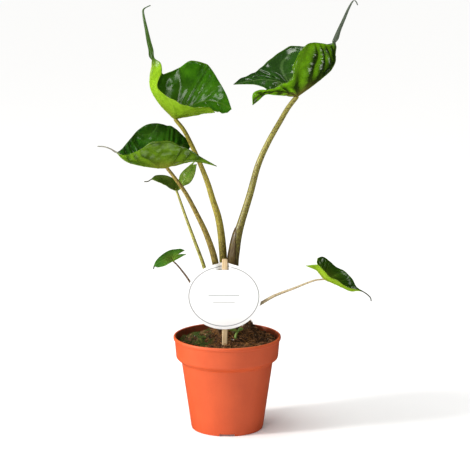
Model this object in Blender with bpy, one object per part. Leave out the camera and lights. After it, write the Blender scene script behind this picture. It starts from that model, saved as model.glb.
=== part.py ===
"""Alocasia stingray in its nursery pot, at rest, in metres with +Z up.

The origin is the centre of the pot's underside and the label faces -Y. Lengths in the
tables are millimetres. Each leaf is a blade on its own petiole. A blade is a thin sheet
between a midrib, two lobe ribs and its margins, and it narrows into a whip tail.
"""

from math import cos, pi, radians, sin

import bmesh
import bpy
import numpy as np
from mathutils import Matrix, Vector

MM = 0.001
GAP = 0.4
BLADE_THICK = 0.8
POT_HEIGHT = 106.0
POT_RADIUS = 60.2
POT_SEGMENTS = 56
SOIL_SEGMENTS = 28
SOIL_LEVEL = 97.6
FLOOR = 4.6
DRAIN_HOLES = 6
FOOT_NOTCHES = 4
TUBE_SIDES = 8

# Pot wall as radius and height, from the underside's centre round to the inside's centre.
POT_PROFILE = [
    (0, 0), (14, 0), (15.5, 3), (31, 3), (32.8, 0), (39.6, 0), (40.4, 0.8),
    (51.2, 76.6), (56.6, 81.2), (57.2, 82.8), (58.8, 101.8), (60, 102.3), (60.2, 103.2),
    (60.2, 105.2), (59.4, 106), (58.2, 106), (57.4, 105.2), (57.2, 102), (55.6, 83.4),
    (55, 82), (49.8, 77.4), (39.3, 5.6), (38, FLOOR), (0, FLOOR),
]
SOIL_SIDE = [(55.8, 94), (54.9, 83.4), (54.3, 82.2), (49.2, 77.6), (38.8, 6.2), (37.5, 5.0)]

# Petiole centre lines from the crown up: x, y, z and radius.
PETIOLES = {
    "petiole_1": [
        (-1, 18, 104, 4.5), (-3, 12, 150, 4.5), (-5, 8, 201, 4.3), (-9, 7.5, 235, 3.9),
        (-16, 7, 259, 3.4), (-22, 7, 279, 3.0), (-31, 7, 302, 2.6), (-41, 7.5, 324, 2.4),
        (-48, 8, 337, 2.3), (-56.1, 8, 347.3, 2.2),
    ],
    "petiole_2": [
        (8, 9, 104, 5.8), (7, 4, 150, 6.2), (6.5, 0, 187, 6.4), (8.5, -0.5, 205, 6.1),
        (11, -0.5, 219, 5.4), (15.5, 0, 234, 4.3), (25, 1, 265, 3.8), (34, 2, 298, 3.4),
        (45, 3, 323, 3.1), (59, 4, 348, 2.9), (67, 5, 361.5, 2.8), (75.6, 5, 372.9, 2.7),
    ],
    "petiole_3": [
        (-7, 6, 104, 3.9), (-9, 0, 150, 3.9), (-13, -6, 190, 3.7), (-22, -10, 221, 3.2),
        (-33, -13, 246, 2.7), (-45, -17, 270, 2.3), (-57, -20, 288, 2.0),
        (-64.7, -22, 298.4, 1.9),
    ],
    "petiole_4": [
        (-8.5, 16.5, 104, 2.2), (-18, 14, 150, 2.2), (-26, 13, 182, 2.1), (-36, 17, 209, 1.9),
        (-46, 21, 236, 1.6), (-53, 24, 256, 1.4), (-56.6, 25, 266.1, 1.3),
    ],
    "petiole_5": [
        (-6, 0, 104, 1.3), (-15, -6, 125, 1.3), (-30, -11, 151, 1.2), (-43, -13, 173, 1.1),
        (-49, -15, 182, 1.0), (-55, -17, 190, 0.9), (-59.8, -18.3, 195, 0.8),
    ],
    "petiole_6": [
        (5, -0.5, 104, 2.1), (11, -2, 118, 2.1), (24, -9, 136, 2.0), (39, -17, 147.5, 1.8),
        (53, -21, 156.5, 1.6), (73, -26, 165.5, 1.3), (87, -29, 172, 1.1),
        (97, -31, 176, 1.0), (105.7, -32.2, 177.2, 0.9),
    ],
}

# Blades in mm. Tail rows hold the midrib and half width from the tip of the whip down,
# front rows the midrib, near margin and far margin down to the petiole. Lobe rows hold
# the lobe's rib, outer margin and inner margin, and the last of them is the lobe's tip.
BLADES = {
    "leaf_1": {
        "tail": [
            (-84, 20, 472, 0.7), (-91, 18, 468, 1.0), (-91, 16, 461, 1.4),
            (-88, 12, 447, 2.0), (-85.5, 9, 435, 2.6), (-83, 7, 425, 3.0), (-81.5, 6, 416, 2.8),
        ],
        "side": (1, -0.35, 0),
        "front": [
            ((-81, 6, 407), (-72, 0, 411), (-73, 12, 408)),
            ((-83, 6, 397), (-71, -8, 401), (-71, 22, 397)),
            ((-83, 7, 384), (-75, -24, 387), (-63, 32, 398)),
            ((-78, 8, 373), (-65, -36, 380), (-53, 40, 402)),
            ((-70, 8, 362), (-54, -43, 374), (-41, 45, 409)),
            ((-57, 8, 349), (-41, -45, 369), (-28, 46, 407)),
        ],
        "near": [
            ((-45, -2, 356), (-29, -42, 368), (-17, -2, 358)),
            ((-32, -8, 359), (-20, -32, 367), (-15, -6, 358)),
            ((-13, -14, 359), (-13, -14, 359), (-13, -14, 359)),
        ],
        "far": [
            ((-41, 18, 361), (-20, 47, 403), (-12, 4, 358)),
            ((-24, 22, 367), (-11, 42, 390), (-7, 4, 357)),
            ((-8, 18, 365), (-1, 28, 374), (-1, 4, 356)),
            ((5, 6, 360), (5, 6, 360), (5, 6, 360)),
        ],
        "sinus": (-21, 2, 358),
        "sag": ((-0.03, -0.09, -0.09), (-0.04, 0.10, -0.08)),
    },
    "leaf_2": {
        "tail": [
            (143, 24, 472, 0.7), (141, 23, 476, 0.9), (138, 22, 477, 1.1),
            (133, 20, 469, 1.5), (128, 17, 458, 2.0), (122, 13, 445, 2.6), (118, 10, 435, 3.2),
        ],
        "side": (-1, -0.35, 0),
        "front": [
            ((118, 8, 428), (114, 2, 431), (113, 14, 431)),
            ((117, 6, 420), (102, -16, 434), (100, 26, 428)),
            ((117, 5, 412), (93, -28, 436), (87, 34, 426)),
            ((112, 4, 403), (84, -37, 434), (77, 40, 426)),
            ((103, 3, 395), (76, -44, 424), (69, 44, 425)),
            ((92, 4, 386), (71, -47, 413), (58, 46, 418)),
            ((77, 5, 375), (69, -46, 399), (46, 46, 409)),
        ],
        "near": [
            ((66, -12, 381), (58, -50, 394), (58, -12, 377)),
            ((54, -25, 384), (47, -52, 388), (44, -25, 380)),
            ((42, -35, 384), (38, -52, 388), (39, -33, 379)),
            ((33, -43, 380), (28, -50, 384), (34, -40, 375)),
            ((27.5, -47, 371), (27.5, -47, 371), (27.5, -47, 371)),
        ],
        "far": [
            ((62, 18, 387), (35, 46, 399), (49, 8, 379)),
            ((45, 26, 390), (26, 42, 394), (39, 18, 383)),
            ((30, 30, 389), (15, 38, 390), (29, 24, 385)),
            ((7, 34, 384), (7, 34, 384), (7, 34, 384)),
        ],
        "sinus": (64, -2, 376),
        "sag": ((0.04, -0.09, -0.09), (0.04, 0.10, -0.08)),
    },
    "leaf_3": {
        "tail": [
            (-142, -2, 320, 0.7), (-134, -6, 320, 1.0), (-127, -9, 318, 1.3),
            (-121, -12, 315, 1.8),
        ],
        "side": (0.2, -0.9, 0.4),
        "front": [
            ((-116, -15, 311), (-112, -20, 313), (-114, -8, 319)),
            ((-108, -18, 306), (-99, -38, 319), (-106, 4, 328)),
            ((-97, -20, 303), (-89, -50, 326), (-98, 14, 336)),
            ((-85, -21, 301), (-80, -58, 333), (-88, 20, 341)),
            ((-75, -22, 300), (-70, -61, 334), (-79, 23, 342)),
            ((-66, -22, 300), (-57, -62, 333), (-69, 24, 340)),
        ],
        "near": [
            ((-55, -30, 306), (-48, -58, 328), (-44, -24, 305)),
            ((-44, -34, 309), (-38, -53, 323), (-36, -28, 307)),
            ((-31, -37, 310), (-28, -46, 315), (-24, -33, 306)),
            ((-11, -34, 303), (-11, -34, 303), (-11, -34, 303)),
        ],
        "far": [
            ((-59, -6, 314), (-60, 24, 338), (-50, -10, 308)),
            ((-52, 4, 319), (-54, 23, 333), (-45, 2, 311)),
            ((-45, 12, 321), (-46, 20, 326), (-42, 10, 315)),
            ((-41, 16, 316), (-41, 16, 316), (-41, 16, 316)),
        ],
        "sinus": (-56, -20, 302),
        "sag": ((0, -0.10, -0.09), (0, 0.10, -0.08)),
    },
    "leaf_4": {
        "tail": [(-92, 14, 278, 0.7), (-88, 16, 278, 1.0), (-84, 18, 280, 1.4)],
        "side": (0.2, -1, -0.1),
        "front": [
            ((-80, 20, 280), (-79, 12, 279), (-80, 26, 283)),
            ((-73, 22, 278), (-71, 8, 276), (-72, 34, 282)),
            ((-65, 24, 273), (-63, 8, 272), (-63, 38, 279)),
            ((-57, 25, 267), (-54, 9, 269), (-55, 40, 275)),
        ],
        "near": [
            ((-50, 22, 275), (-48, 10, 274), (-51, 26, 279)),
            ((-44, 22, 283), (-41, 12, 277), (-48, 26, 287)),
            ((-39, 23, 290), (-36, 16, 286), (-41, 26, 294)),
            ((-34, 24, 296), (-34, 24, 296), (-34, 24, 296)),
        ],
        "far": [
            ((-52, 33, 277), (-53, 42, 281), (-49, 29, 281)),
            ((-46, 33, 285), (-47, 40, 288), (-45, 30, 287)),
            ((-36, 34, 298), (-36, 34, 298), (-36, 34, 298)),
        ],
        "sinus": (-52, 26, 273),
        "sag": ((-0.04, 0, -0.08), (-0.04, 0, -0.08)),
    },
    "leaf_5": {
        "tail": [(-81, -23, 187, 0.7), (-80, -22.4, 190, 1.1)],
        "side": (0.5, -0.8, -0.3),
        "front": [
            ((-78, -22, 192), (-76, -25, 189), (-78, -16, 195)),
            ((-73, -20, 195), (-69, -27, 191), (-72, -10, 200)),
            ((-67, -19, 197), (-64, -29, 194), (-66, -6, 203)),
            ((-60, -18, 196), (-58, -28, 197), (-59, -5, 205)),
        ],
        "near": [
            ((-54, -22, 200), (-51, -28, 201), (-52, -21, 203)),
            ((-45, -25, 204), (-45, -25, 204), (-45, -25, 204)),
        ],
        "far": [
            ((-54, -13, 203), (-52, -6, 206), (-52, -15, 203)),
            ((-47, -9, 205), (-47, -9, 205), (-47, -9, 205)),
        ],
        "sinus": (-57, -18, 200),
        "sag": ((0, 0, -0.08), (0, 0.04, -0.08)),
    },
    "leaf_6": {
        "tail": [
            (158, -38, 154, 0.7), (157, -38, 158, 0.9), (153, -38, 162, 1.2),
            (148, -37, 165, 1.6),
        ],
        "side": (-0.3, -0.9, 0.1),
        "front": [
            ((142, -37, 166), (140, -40, 168), (142, -33, 169)),
            ((135, -36, 166), (133, -46, 171), (138, -26, 176)),
            ((126, -35, 170), (124, -52, 177), (132, -18, 181)),
            ((117, -34, 174), (115, -55, 183), (125, -13, 185)),
            ((107, -32, 178), (108, -55, 188), (117, -10, 189)),
        ],
        "near": [
            ((102, -36, 185), (104, -53, 193), (99, -34, 187)),
            ((97, -41, 191), (98, -49, 197), (95, -39, 192)),
            ((86, -44, 195), (86, -44, 195), (86, -44, 195)),
        ],
        "far": [
            ((105, -22, 185), (111, -9, 195), (101, -24, 188)),
            ((102, -16, 191), (105, -10, 198), (99, -17, 193)),
            ((100, -13, 197), (100, -13, 197), (100, -13, 197)),
        ],
        "sinus": (102, -30, 182),
        "sag": ((-0.03, -0.06, -0.08), (0.03, 0.08, -0.06)),
    },
}

# Crown, new shoot, stick and card.
CROWN_CENTRE = (0, 10)
CROWN_RADII = (16, 14.5)
CROWN_PROFILE = [(0, 92), (0.62, 93), (0.9, 97), (1, 104), (0.94, 108.5), (0.76, 112), (0, 113.6)]
SHOOT = [(9, -7.5, 94, 2.2), (9.5, -7.5, 106, 2.6), (11.5, -8, 112, 2.5), (15.5, -9, 117, 0.8)]
STICK = (-2.5, -20)
STICK_HALF = (3.1, 1.5)
STICK_SPAN = (62, 197.5)
CARD_CENTRE = (-3.5, 155.6)
CARD_RADII = (41.2, 37.2)
CARD_THICK = 0.8
CARD_COLUMNS = (-90, -74, -60, -46, -34, -24, -16, -10.5, -6, 0)
CARD_ROWS = (-1, -0.6, -0.1, 0.4, 0.7, 0.81, 0.9, 1)
SLIT_ROW = 5

COLOURS = {
    "pot": (0.56, 0.10, 0.035, 1),
    "soil": (0.035, 0.022, 0.014, 1),
    "crown": (0.12, 0.09, 0.035, 1),
    "shoot": (0.10, 0.30, 0.05, 1),
    "label_stick": (0.70, 0.50, 0.27, 1),
    "label_card": (0.90, 0.90, 0.88, 1),
    "petiole": (0.36, 0.33, 0.10, 1),
    "leaf": (0.045, 0.17, 0.02, 1),
}


def clear_scene():
    """Remove whatever the startup scene holds."""
    for obj in list(bpy.data.objects):
        bpy.data.objects.remove(obj)


def paint(obj, kind):
    """Give an object its own material in its kind's colour."""
    material = bpy.data.materials.new(obj.name)
    material.use_nodes = True
    shader = material.node_tree.nodes["Principled BSDF"]
    shader.inputs["Base Color"].default_value = COLOURS[kind]
    shader.inputs["Roughness"].default_value = 0.5
    obj.data.materials.append(material)


def make(name, points, faces, kind=None):
    """Add a mesh object from points in mm, as a named node if kind is given."""
    mesh = bpy.data.meshes.new(name)
    mesh.from_pydata([tuple(float(c) * MM for c in p) for p in points], [], faces)
    mesh.update()
    obj = bpy.data.objects.new(name, mesh)
    bpy.context.scene.collection.objects.link(obj)
    if kind:
        paint(obj, kind)
    return obj


def cutter(name, points, faces):
    """Add a hidden mesh for a Boolean."""
    obj = make(name, points, faces)
    obj.hide_render = True
    obj.display_type = "WIRE"
    return obj


def cut(obj, tools, solver="EXACT"):
    """Take the hidden tools from an object, one Boolean each."""
    for tool in tools:
        boolean = obj.modifiers.new(tool.name, "BOOLEAN")
        boolean.operation = "DIFFERENCE"
        boolean.solver = solver
        boolean.object = tool


def spline(points, steps):
    """A smooth curve through the points, as an array with steps rows a span."""
    p = np.array(points, float)
    if len(p) == 2:
        return np.array([p[0] + (p[1] - p[0]) * k / steps for k in range(steps + 1)])
    p = np.vstack([2 * p[0] - p[1], p, 2 * p[-1] - p[-2]])
    rows = []
    for i in range(1, len(p) - 2):
        a, b, c, d = p[i - 1], p[i], p[i + 1], p[i + 2]
        for k in range(steps):
            t = k / steps
            rows.append(0.5 * (2 * b + (c - a) * t + (2 * a - 5 * b + 4 * c - d) * t * t
                               + (3 * b - a - 3 * c + d) * t ** 3))
    return np.array(rows + [p[-2]])


def lathe(profile, segments, centre=(0, 0), radii=(1, 1)):
    """Turn a profile that starts and ends on the axis, as points and outward faces."""
    points = [(centre[0], centre[1], profile[0][1])]
    for r, z in profile[1:-1]:
        for k in range(segments):
            a = 2 * pi * k / segments
            points.append((centre[0] + radii[0] * r * cos(a), centre[1] + radii[1] * r * sin(a), z))
    points.append((centre[0], centre[1], profile[-1][1]))
    faces = []
    rings = len(profile) - 2
    for k in range(segments):
        n = (k + 1) % segments
        faces.append((0, 1 + n, 1 + k))
        for i in range(rings - 1):
            low, high = 1 + i * segments, 1 + (i + 1) * segments
            faces.append((low + k, low + n, high + n, high + k))
        last = 1 + (rings - 1) * segments
        faces.append((last + k, last + n, len(points) - 1))
    return points, faces


def tube(rows, sides=TUBE_SIDES):
    """Sweep a round section along rows of x, y, z, radius, with flat ends."""
    rows = np.array(rows, float)
    centres = [Vector(r[:3]) for r in rows]
    points, faces = [], []
    side = None
    for i, centre in enumerate(centres):
        ahead = centres[min(i + 1, len(centres) - 1)] - centres[max(i - 1, 0)]
        ahead.normalize()
        if side is None:
            side = Vector((1, 0, 0))
        side = (side - ahead * side.dot(ahead)).normalized()
        up = ahead.cross(side)
        for k in range(sides):
            a = 2 * pi * k / sides
            points.append(centre + (side * cos(a) + up * sin(a)) * float(rows[i][3]))
    for i in range(len(centres) - 1):
        for k in range(sides):
            n = (k + 1) % sides
            low, high = i * sides, (i + 1) * sides
            faces.append((low + k, low + n, high + n, high + k))
    faces.append(tuple(reversed(range(sides))))
    faces.append(tuple(range(len(points) - sides, len(points))))
    return points, faces


def rod(start, end, radius, sides=16):
    """A straight cylinder between two points."""
    return tube([(*start, radius), (*end, radius)], sides)


def stick_solid(low, high, grow):
    """The flat stick of the label, with rounded edges, between two heights."""
    points = []
    for z in (low, high):
        for k in range(16):
            c, s = cos(2 * pi * k / 16), sin(2 * pi * k / 16)
            x = (STICK_HALF[0] + grow) * (abs(c) ** 0.6) * (1 if c > 0 else -1)
            y = (STICK_HALF[1] + grow) * (abs(s) ** 0.6) * (1 if s > 0 else -1)
            points.append((STICK[0] + x, STICK[1] + y, z))
    faces = [(k, (k + 1) % 16, 16 + (k + 1) % 16, 16 + k) for k in range(16)]
    return points, faces + [tuple(range(15, -1, -1)), tuple(range(16, 32))]


def box(centre, size, turn=0.0):
    """A box turned about the vertical axis through the origin."""
    points = []
    for i in range(8):
        p = Vector(centre) + Vector(((i & 1) - 0.5, (i >> 1 & 1) - 0.5, (i >> 2) - 0.5)) * Vector(size)
        points.append(Matrix.Rotation(turn, 3, "Z") @ p)
    faces = [(0, 2, 3, 1), (4, 5, 7, 6), (0, 1, 5, 4), (2, 6, 7, 3), (0, 4, 6, 2), (1, 3, 7, 5)]
    return points, faces


def thicken(points, triangles, thickness):
    """Turn an open sheet of triangles into a closed solid, alike on both sides."""
    points = np.array(points, float)
    triangles = np.array(triangles, int)
    corner = points[triangles]
    facing = np.cross(corner[:, 1] - corner[:, 0], corner[:, 2] - corner[:, 0])
    normals = np.zeros_like(points)
    for k in range(3):
        np.add.at(normals, triangles[:, k], facing)
    normals /= np.linalg.norm(normals, axis=1)[:, None]
    count = len(points)
    solid = np.vstack([points + normals * thickness / 2, points - normals * thickness / 2])
    edges = {(t[k], t[(k + 1) % 3]) for t in triangles.tolist() for k in range(3)}
    rim = [(a, b) for a, b in edges if (b, a) not in edges]
    faces = triangles.tolist() + (triangles[:, ::-1] + count).tolist()
    for a, b in sorted(rim):
        faces.append((b, a, a + count))
        faces.append((b, a + count, b + count))
    return solid, faces


def sheet_rows(rib, margin, across, sag):
    """Rows of points from a rib to a margin, bowed by sag times the row's width."""
    rows = []
    for a, b in zip(rib, margin):
        mid = (a + b) / 2 + np.array(sag) * np.linalg.norm(b - a)
        rows.append([a * (1 - t) ** 2 + mid * 2 * t * (1 - t) + b * t * t
                     for t in np.linspace(0, 1, across + 1)])
    return rows


def weld(grids):
    """Join grids of points into one sheet of triangles, each grid with its winding."""
    index, points, triangles = {}, [], []

    def number(p):
        key = tuple(np.round(p, 2))
        if key not in index:
            index[key] = len(points)
            points.append(p)
        return index[key]

    for rows, turned in grids:
        for i in range(len(rows) - 1):
            for j in range(len(rows[0]) - 1):
                a, b = number(rows[i][j]), number(rows[i][j + 1])
                c, d = number(rows[i + 1][j + 1]), number(rows[i + 1][j])
                for tri in ((a, b, c), (a, c, d)):
                    if len(set(tri)) == 3:
                        triangles.append(tri[::-1] if turned else tri)
    return points, triangles


def blade(shape, steps, across):
    """The sheet of one leaf blade, as points and triangles with the upper face out."""
    side = np.array(shape["side"], float)
    side /= np.linalg.norm(side)
    tail = np.array(shape["tail"], float)
    front = np.array(shape["front"], float)
    midrib = np.vstack([tail[:, :3], front[:, 0]])
    near = np.vstack([tail[:, :3] + side * tail[:, 3:], front[:, 1]])
    far = np.vstack([tail[:, :3] - side * tail[:, 3:], front[:, 2]])
    count = (len(midrib) - 1) * steps + 1
    sinus = np.array([shape["sinus"]], float)
    grids = []
    for margin, lobe, sag, turned in ((near, "near", 0, False), (far, "far", 1, True)):
        rows = np.array(shape[lobe], float)
        outer = spline(np.vstack([margin, rows[:, 1]]), steps)
        inner = spline(np.vstack([sinus, rows[:, 2]]), steps)
        rib = spline(np.vstack([midrib[-1:], rows[:, 0]]), steps)
        spine = np.vstack([spline(midrib, steps), rib[1:]])
        grids.append((sheet_rows(spine, outer, across, shape["sag"][sag]), turned))
        grids.append((sheet_rows(rib, inner, across, (0, 0, -0.06)), not turned))
    return weld(grids)


def build_pot():
    """Turned pot with drain holes in the channel of its base and notches in its foot."""
    pot = make("pot", *lathe(POT_PROFILE, POT_SEGMENTS), "pot")
    tools = []
    for k in range(DRAIN_HOLES):
        a = 2 * pi * (k + 0.5) / DRAIN_HOLES
        spot = (23 * cos(a), 23 * sin(a))
        tools.append(cutter(f"drain_{k}", *rod((*spot, -1), (*spot, FLOOR + 2), 3.2, 12)))
    for k in range(FOOT_NOTCHES):
        turn = 2 * pi * k / FOOT_NOTCHES
        tools.append(cutter(f"notch_{k}", *box((0, -37, 0.3), (17, 13.6, 4.6), turn)))
    cut(pot, tools, "MANIFOLD")


def soil_height(x, y):
    """Height of the soil's top in mm: mounded, low at the left, a clod at the back."""
    r = (x * x + y * y) ** 0.5 / 56
    z = SOIL_LEVEL + 0.035 * x * r
    z += 12.5 * np.exp(-((x - 1) ** 2 + (y - 10) ** 2) / 578)
    z += 12.5 * np.exp(-((x - 23) ** 2 + (y - 42) ** 2) / 100)
    z += 3.0 * np.exp(-((x + 32) ** 2 + (y + 4) ** 2) / 160)
    z += 0.9 * sin(0.31 * x + 1.0) * cos(0.27 * y) + 0.6 * sin(0.62 * y + 0.5 * x)
    return z


def build_soil():
    """Potting soil that fills the pot to below the rim, with holes for what stands in it."""
    rings = [0.12, 0.26, 0.40, 0.54, 0.67, 0.79, 0.90, 1.0]
    points = [(0, 0, soil_height(0, 0))]
    for ring in rings:
        for k in range(SOIL_SEGMENTS):
            a = 2 * pi * k / SOIL_SEGMENTS
            x, y = 55.9 * ring * cos(a), 55.9 * ring * sin(a)
            drop = 2.5 * (ring == 1.0)
            points.append((x, y, soil_height(x, y) - drop))
    for r, z in SOIL_SIDE:
        for k in range(SOIL_SEGMENTS):
            a = 2 * pi * k / SOIL_SEGMENTS
            points.append((r * cos(a), r * sin(a), z))
    points.append((0, 0, SOIL_SIDE[-1][1]))
    faces = []
    count = len(rings) + len(SOIL_SIDE)
    for k in range(SOIL_SEGMENTS):
        n = (k + 1) % SOIL_SEGMENTS
        faces.append((0, 1 + k, 1 + n))
        for i in range(count - 1):
            low, high = 1 + i * SOIL_SEGMENTS, 1 + (i + 1) * SOIL_SEGMENTS
            faces.append((low + n, low + k, high + k))
            faces.append((low + n, high + k, high + n))
        last = 1 + (count - 1) * SOIL_SEGMENTS
        faces.append((last + n, last + k, len(points) - 1))
    soil = make("soil", points, faces, "soil")
    grown = tuple(r + GAP for r in CROWN_RADII)
    hole = [(0, 91.6), (0.62, 92.6), (0.92, 96.8), (1, 104), (1, 125), (0, 125)]
    tools = [cutter("crown_hole", *lathe(hole, 20, CROWN_CENTRE, grown))]
    tools.append(cutter("stick_hole", *stick_solid(STICK_SPAN[0] - GAP, 115, GAP)))
    low, next_up = Vector(SHOOT[0][:3]), Vector(SHOOT[1][:3])
    ahead = (next_up - low).normalized()
    tools.append(cutter("shoot_hole", *rod(low - ahead * GAP, low + ahead * 26, 3.1)))
    cut(soil, tools)


def build_crown():
    """The short stem at soil level, with a plain hole for each petiole."""
    crown = make("crown", *lathe(CROWN_PROFILE, 20, CROWN_CENTRE, CROWN_RADII), "crown")
    tools = []
    for name, rows in PETIOLES.items():
        low, ahead = Vector(rows[0][:3]), Vector(rows[1][:3]) - Vector(rows[0][:3])
        ahead.normalize()
        radius = rows[0][3] + 1.5 * GAP
        tools.append(cutter(f"{name}_hole", *rod(low - ahead * GAP, low + ahead * 24, radius, 12)))
    cut(crown, tools)


def build_petioles():
    """Leaf stalks, each standing in its hole in the crown."""
    for name, rows in PETIOLES.items():
        make(name, *tube(spline(rows, 2)), "petiole")
    make("new_shoot", *tube(spline(SHOOT, 3)), "shoot")


def build_blades():
    """Leaf blades, the large ones with more rows."""
    for name, shape in BLADES.items():
        large = len(shape["front"]) > 5
        points, triangles = blade(shape, 2, 4 if large else 3)
        make(name, *thicken(points, triangles, BLADE_THICK), "leaf")


def build_label():
    """Oval card with a slit near its top, threaded on a flat wooden stick."""
    make("label_stick", *stick_solid(*STICK_SPAN, 0), "label_stick")
    plane = STICK[1] - STICK_HALF[1] - 0.3 - CARD_THICK / 2
    push = 2 * (STICK_HALF[1] + 0.3) + CARD_THICK
    angles = CARD_COLUMNS + tuple(-a for a in reversed(CARD_COLUMNS[:-1]))

    def place(angle, row, upper):
        x = CARD_RADII[0] * sin(radians(angle))
        z = CARD_RADII[1] * cos(radians(angle)) * row
        back = push * min(max((11.3 - abs(x)) / 7, 0), 1) if upper else 0.0
        return np.array((CARD_CENTRE[0] + x, plane + back, CARD_CENTRE[1] + z))

    low = [[place(a, row, False) for a in angles] for row in CARD_ROWS[:SLIT_ROW + 1]]
    high = [[place(a, row, True) for a in angles] for row in CARD_ROWS[SLIT_ROW:]]
    make("label_card", *thicken(*weld([(low, True), (high, True)]), CARD_THICK), "label_card")


def main():
    """Build every piece at rest."""
    clear_scene()
    build_pot()
    build_soil()
    build_crown()
    build_petioles()
    build_blades()
    build_label()


main()
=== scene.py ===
"""Looks of the potted alocasia stingray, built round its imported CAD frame.

Tables are in millimetres in the frame of the CAD: origin under the pot, +Z up, label to -Y.
Colours are linear red, green and blue, and lamps are placed in metres.
"""

import logging
from collections.abc import Sequence
from dataclasses import dataclass, field
from enum import Enum
from math import cos, pi, radians, sin

import bpy
import numpy as np
from mathutils import Matrix, Vector, noise


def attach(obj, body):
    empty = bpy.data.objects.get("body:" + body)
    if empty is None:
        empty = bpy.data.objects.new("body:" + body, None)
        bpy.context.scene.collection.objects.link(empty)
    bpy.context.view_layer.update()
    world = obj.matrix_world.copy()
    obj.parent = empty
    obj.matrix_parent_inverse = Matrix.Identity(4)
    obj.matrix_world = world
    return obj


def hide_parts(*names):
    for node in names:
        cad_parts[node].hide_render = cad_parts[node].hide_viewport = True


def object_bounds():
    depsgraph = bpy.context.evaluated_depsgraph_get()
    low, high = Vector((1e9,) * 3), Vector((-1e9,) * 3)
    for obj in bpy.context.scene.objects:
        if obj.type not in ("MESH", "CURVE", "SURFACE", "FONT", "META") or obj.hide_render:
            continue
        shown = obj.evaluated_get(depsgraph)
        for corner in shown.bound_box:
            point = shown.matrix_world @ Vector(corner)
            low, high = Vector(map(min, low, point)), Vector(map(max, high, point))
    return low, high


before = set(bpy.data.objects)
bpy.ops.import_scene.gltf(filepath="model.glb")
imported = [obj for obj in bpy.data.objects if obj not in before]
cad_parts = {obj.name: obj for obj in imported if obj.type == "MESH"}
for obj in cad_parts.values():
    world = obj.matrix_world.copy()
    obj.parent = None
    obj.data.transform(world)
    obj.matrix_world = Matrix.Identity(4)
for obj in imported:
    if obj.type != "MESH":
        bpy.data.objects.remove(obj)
CAD_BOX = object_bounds()

MM = 0.001
LOG = logging.getLogger("alocasia")

Rgb = tuple[float, float, float]
Row = tuple[float, ...]
Faces = list[tuple[int, ...]]
Socket = bpy.types.NodeSocket


class Halves(Enum):
    """The two halves of a blade, by which side of the midrib they lie on."""

    NEAR = "near"
    FAR = "far"


class Detail(Enum):
    """How finely a blade is divided: rows for each span and columns for each half."""

    LARGE = (9, 22)
    SMALL = (8, 14)


class Reach(Enum):
    """What a lamp lights."""

    REST = "everything but the leaves"
    LEAVES = "the leaves without their gloss"
    GLINT = "the gloss of the leaves alone"


# Helpers for shapes


def spline(points: Sequence[Sequence[float]], steps: int) -> np.ndarray:
    """Draw a smooth curve through points.

    Args:
        points: The control rows, of any width.
        steps: Rows for each span between two control rows.

    Returns:
        The curve's rows, ending on the last control row.
    """
    p = np.array(points, float)
    if len(p) == 2:
        return np.array([p[0] + (p[1] - p[0]) * k / steps for k in range(steps + 1)])
    p = np.vstack([2 * p[0] - p[1], p, 2 * p[-1] - p[-2]])
    rows = []
    for i in range(1, len(p) - 2):
        a, b, c, d = p[i - 1], p[i], p[i + 1], p[i + 2]
        for k in range(steps):
            t = k / steps
            square = (2 * a - 5 * b + 4 * c - d) * t * t
            rows.append(0.5 * (2 * b + (c - a) * t + square + (3 * b - a - 3 * c + d) * t**3))
    return np.array(rows + [p[-2]])


def mesh_piece(
    name: str, points: np.ndarray, faces: Faces, materials: Sequence[bpy.types.Material]
) -> bpy.types.Object:
    """Add a smooth-shaded mesh to the scene.

    Args:
        name: The piece's name.
        points: Vertices in millimetres.
        faces: Vertex numbers of each face, seen from outside.
        materials: Materials in slot order.

    Returns:
        The new object, at the origin.
    """
    mesh = bpy.data.meshes.new(name)
    mesh.from_pydata((np.asarray(points, float) * MM).tolist(), [], faces)
    mesh.update()
    mesh.polygons.foreach_set("use_smooth", np.ones(len(mesh.polygons), bool))
    for material in materials:
        mesh.materials.append(material)
    piece = bpy.data.objects.new(name, mesh)
    bpy.context.scene.collection.objects.link(piece)
    return piece


def add_attribute(piece: bpy.types.Object, name: str, values: np.ndarray) -> None:
    """Store one number or one vector for each vertex of a piece.

    Args:
        piece: The piece.
        name: The attribute's name.
        values: One row for each vertex.
    """
    kind, slot = ("FLOAT_VECTOR", "vector") if values.ndim == 2 else ("FLOAT", "value")
    attribute = piece.data.attributes.new(name, kind, "POINT")
    attribute.data.foreach_set(slot, np.asarray(values, np.float32).ravel())


def flatten(piece: bpy.types.Object) -> bpy.types.Object:
    """Replace a piece's mesh by what its modifiers make of it.

    Args:
        piece: A piece with modifiers.

    Returns:
        The same piece, with a plain mesh and no modifier.
    """
    graph = bpy.context.evaluated_depsgraph_get()
    done = bpy.data.meshes.new_from_object(
        piece.evaluated_get(graph), preserve_all_data_layers=True, depsgraph=graph
    )
    piece.modifiers.clear()
    piece.data = done
    return piece


def thicken(piece: bpy.types.Object, depth: float) -> bpy.types.Object:
    """Give an open sheet a thickness.

    Args:
        piece: The sheet.
        depth: Its thickness in millimetres, half of it on each side.

    Returns:
        The same piece, closed.
    """
    wall = piece.modifiers.new("thickness", "SOLIDIFY")
    wall.thickness, wall.offset = depth * MM, 0
    return flatten(piece)


def declare(piece: bpy.types.Object, slot: str, *nodes: str) -> None:
    """Ride a piece on the plant's one body and hide the nodes of the CAD that it stands for.

    Args:
        piece: The piece.
        slot: Name of its finish; not used.
        nodes: Nodes of the CAD that it stands for.
    """
    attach(piece, "root")
    if nodes:
        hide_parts(*nodes)
    LOG.info("%s: %d faces", piece.name, len(piece.data.polygons))


def circle(radius: float, z: float, sides: int) -> list[Row]:
    """Points round a level circle on the axis."""
    angles = (2 * pi * k / sides for k in range(sides))
    return [(radius * cos(a), radius * sin(a), z) for a in angles]


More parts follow.
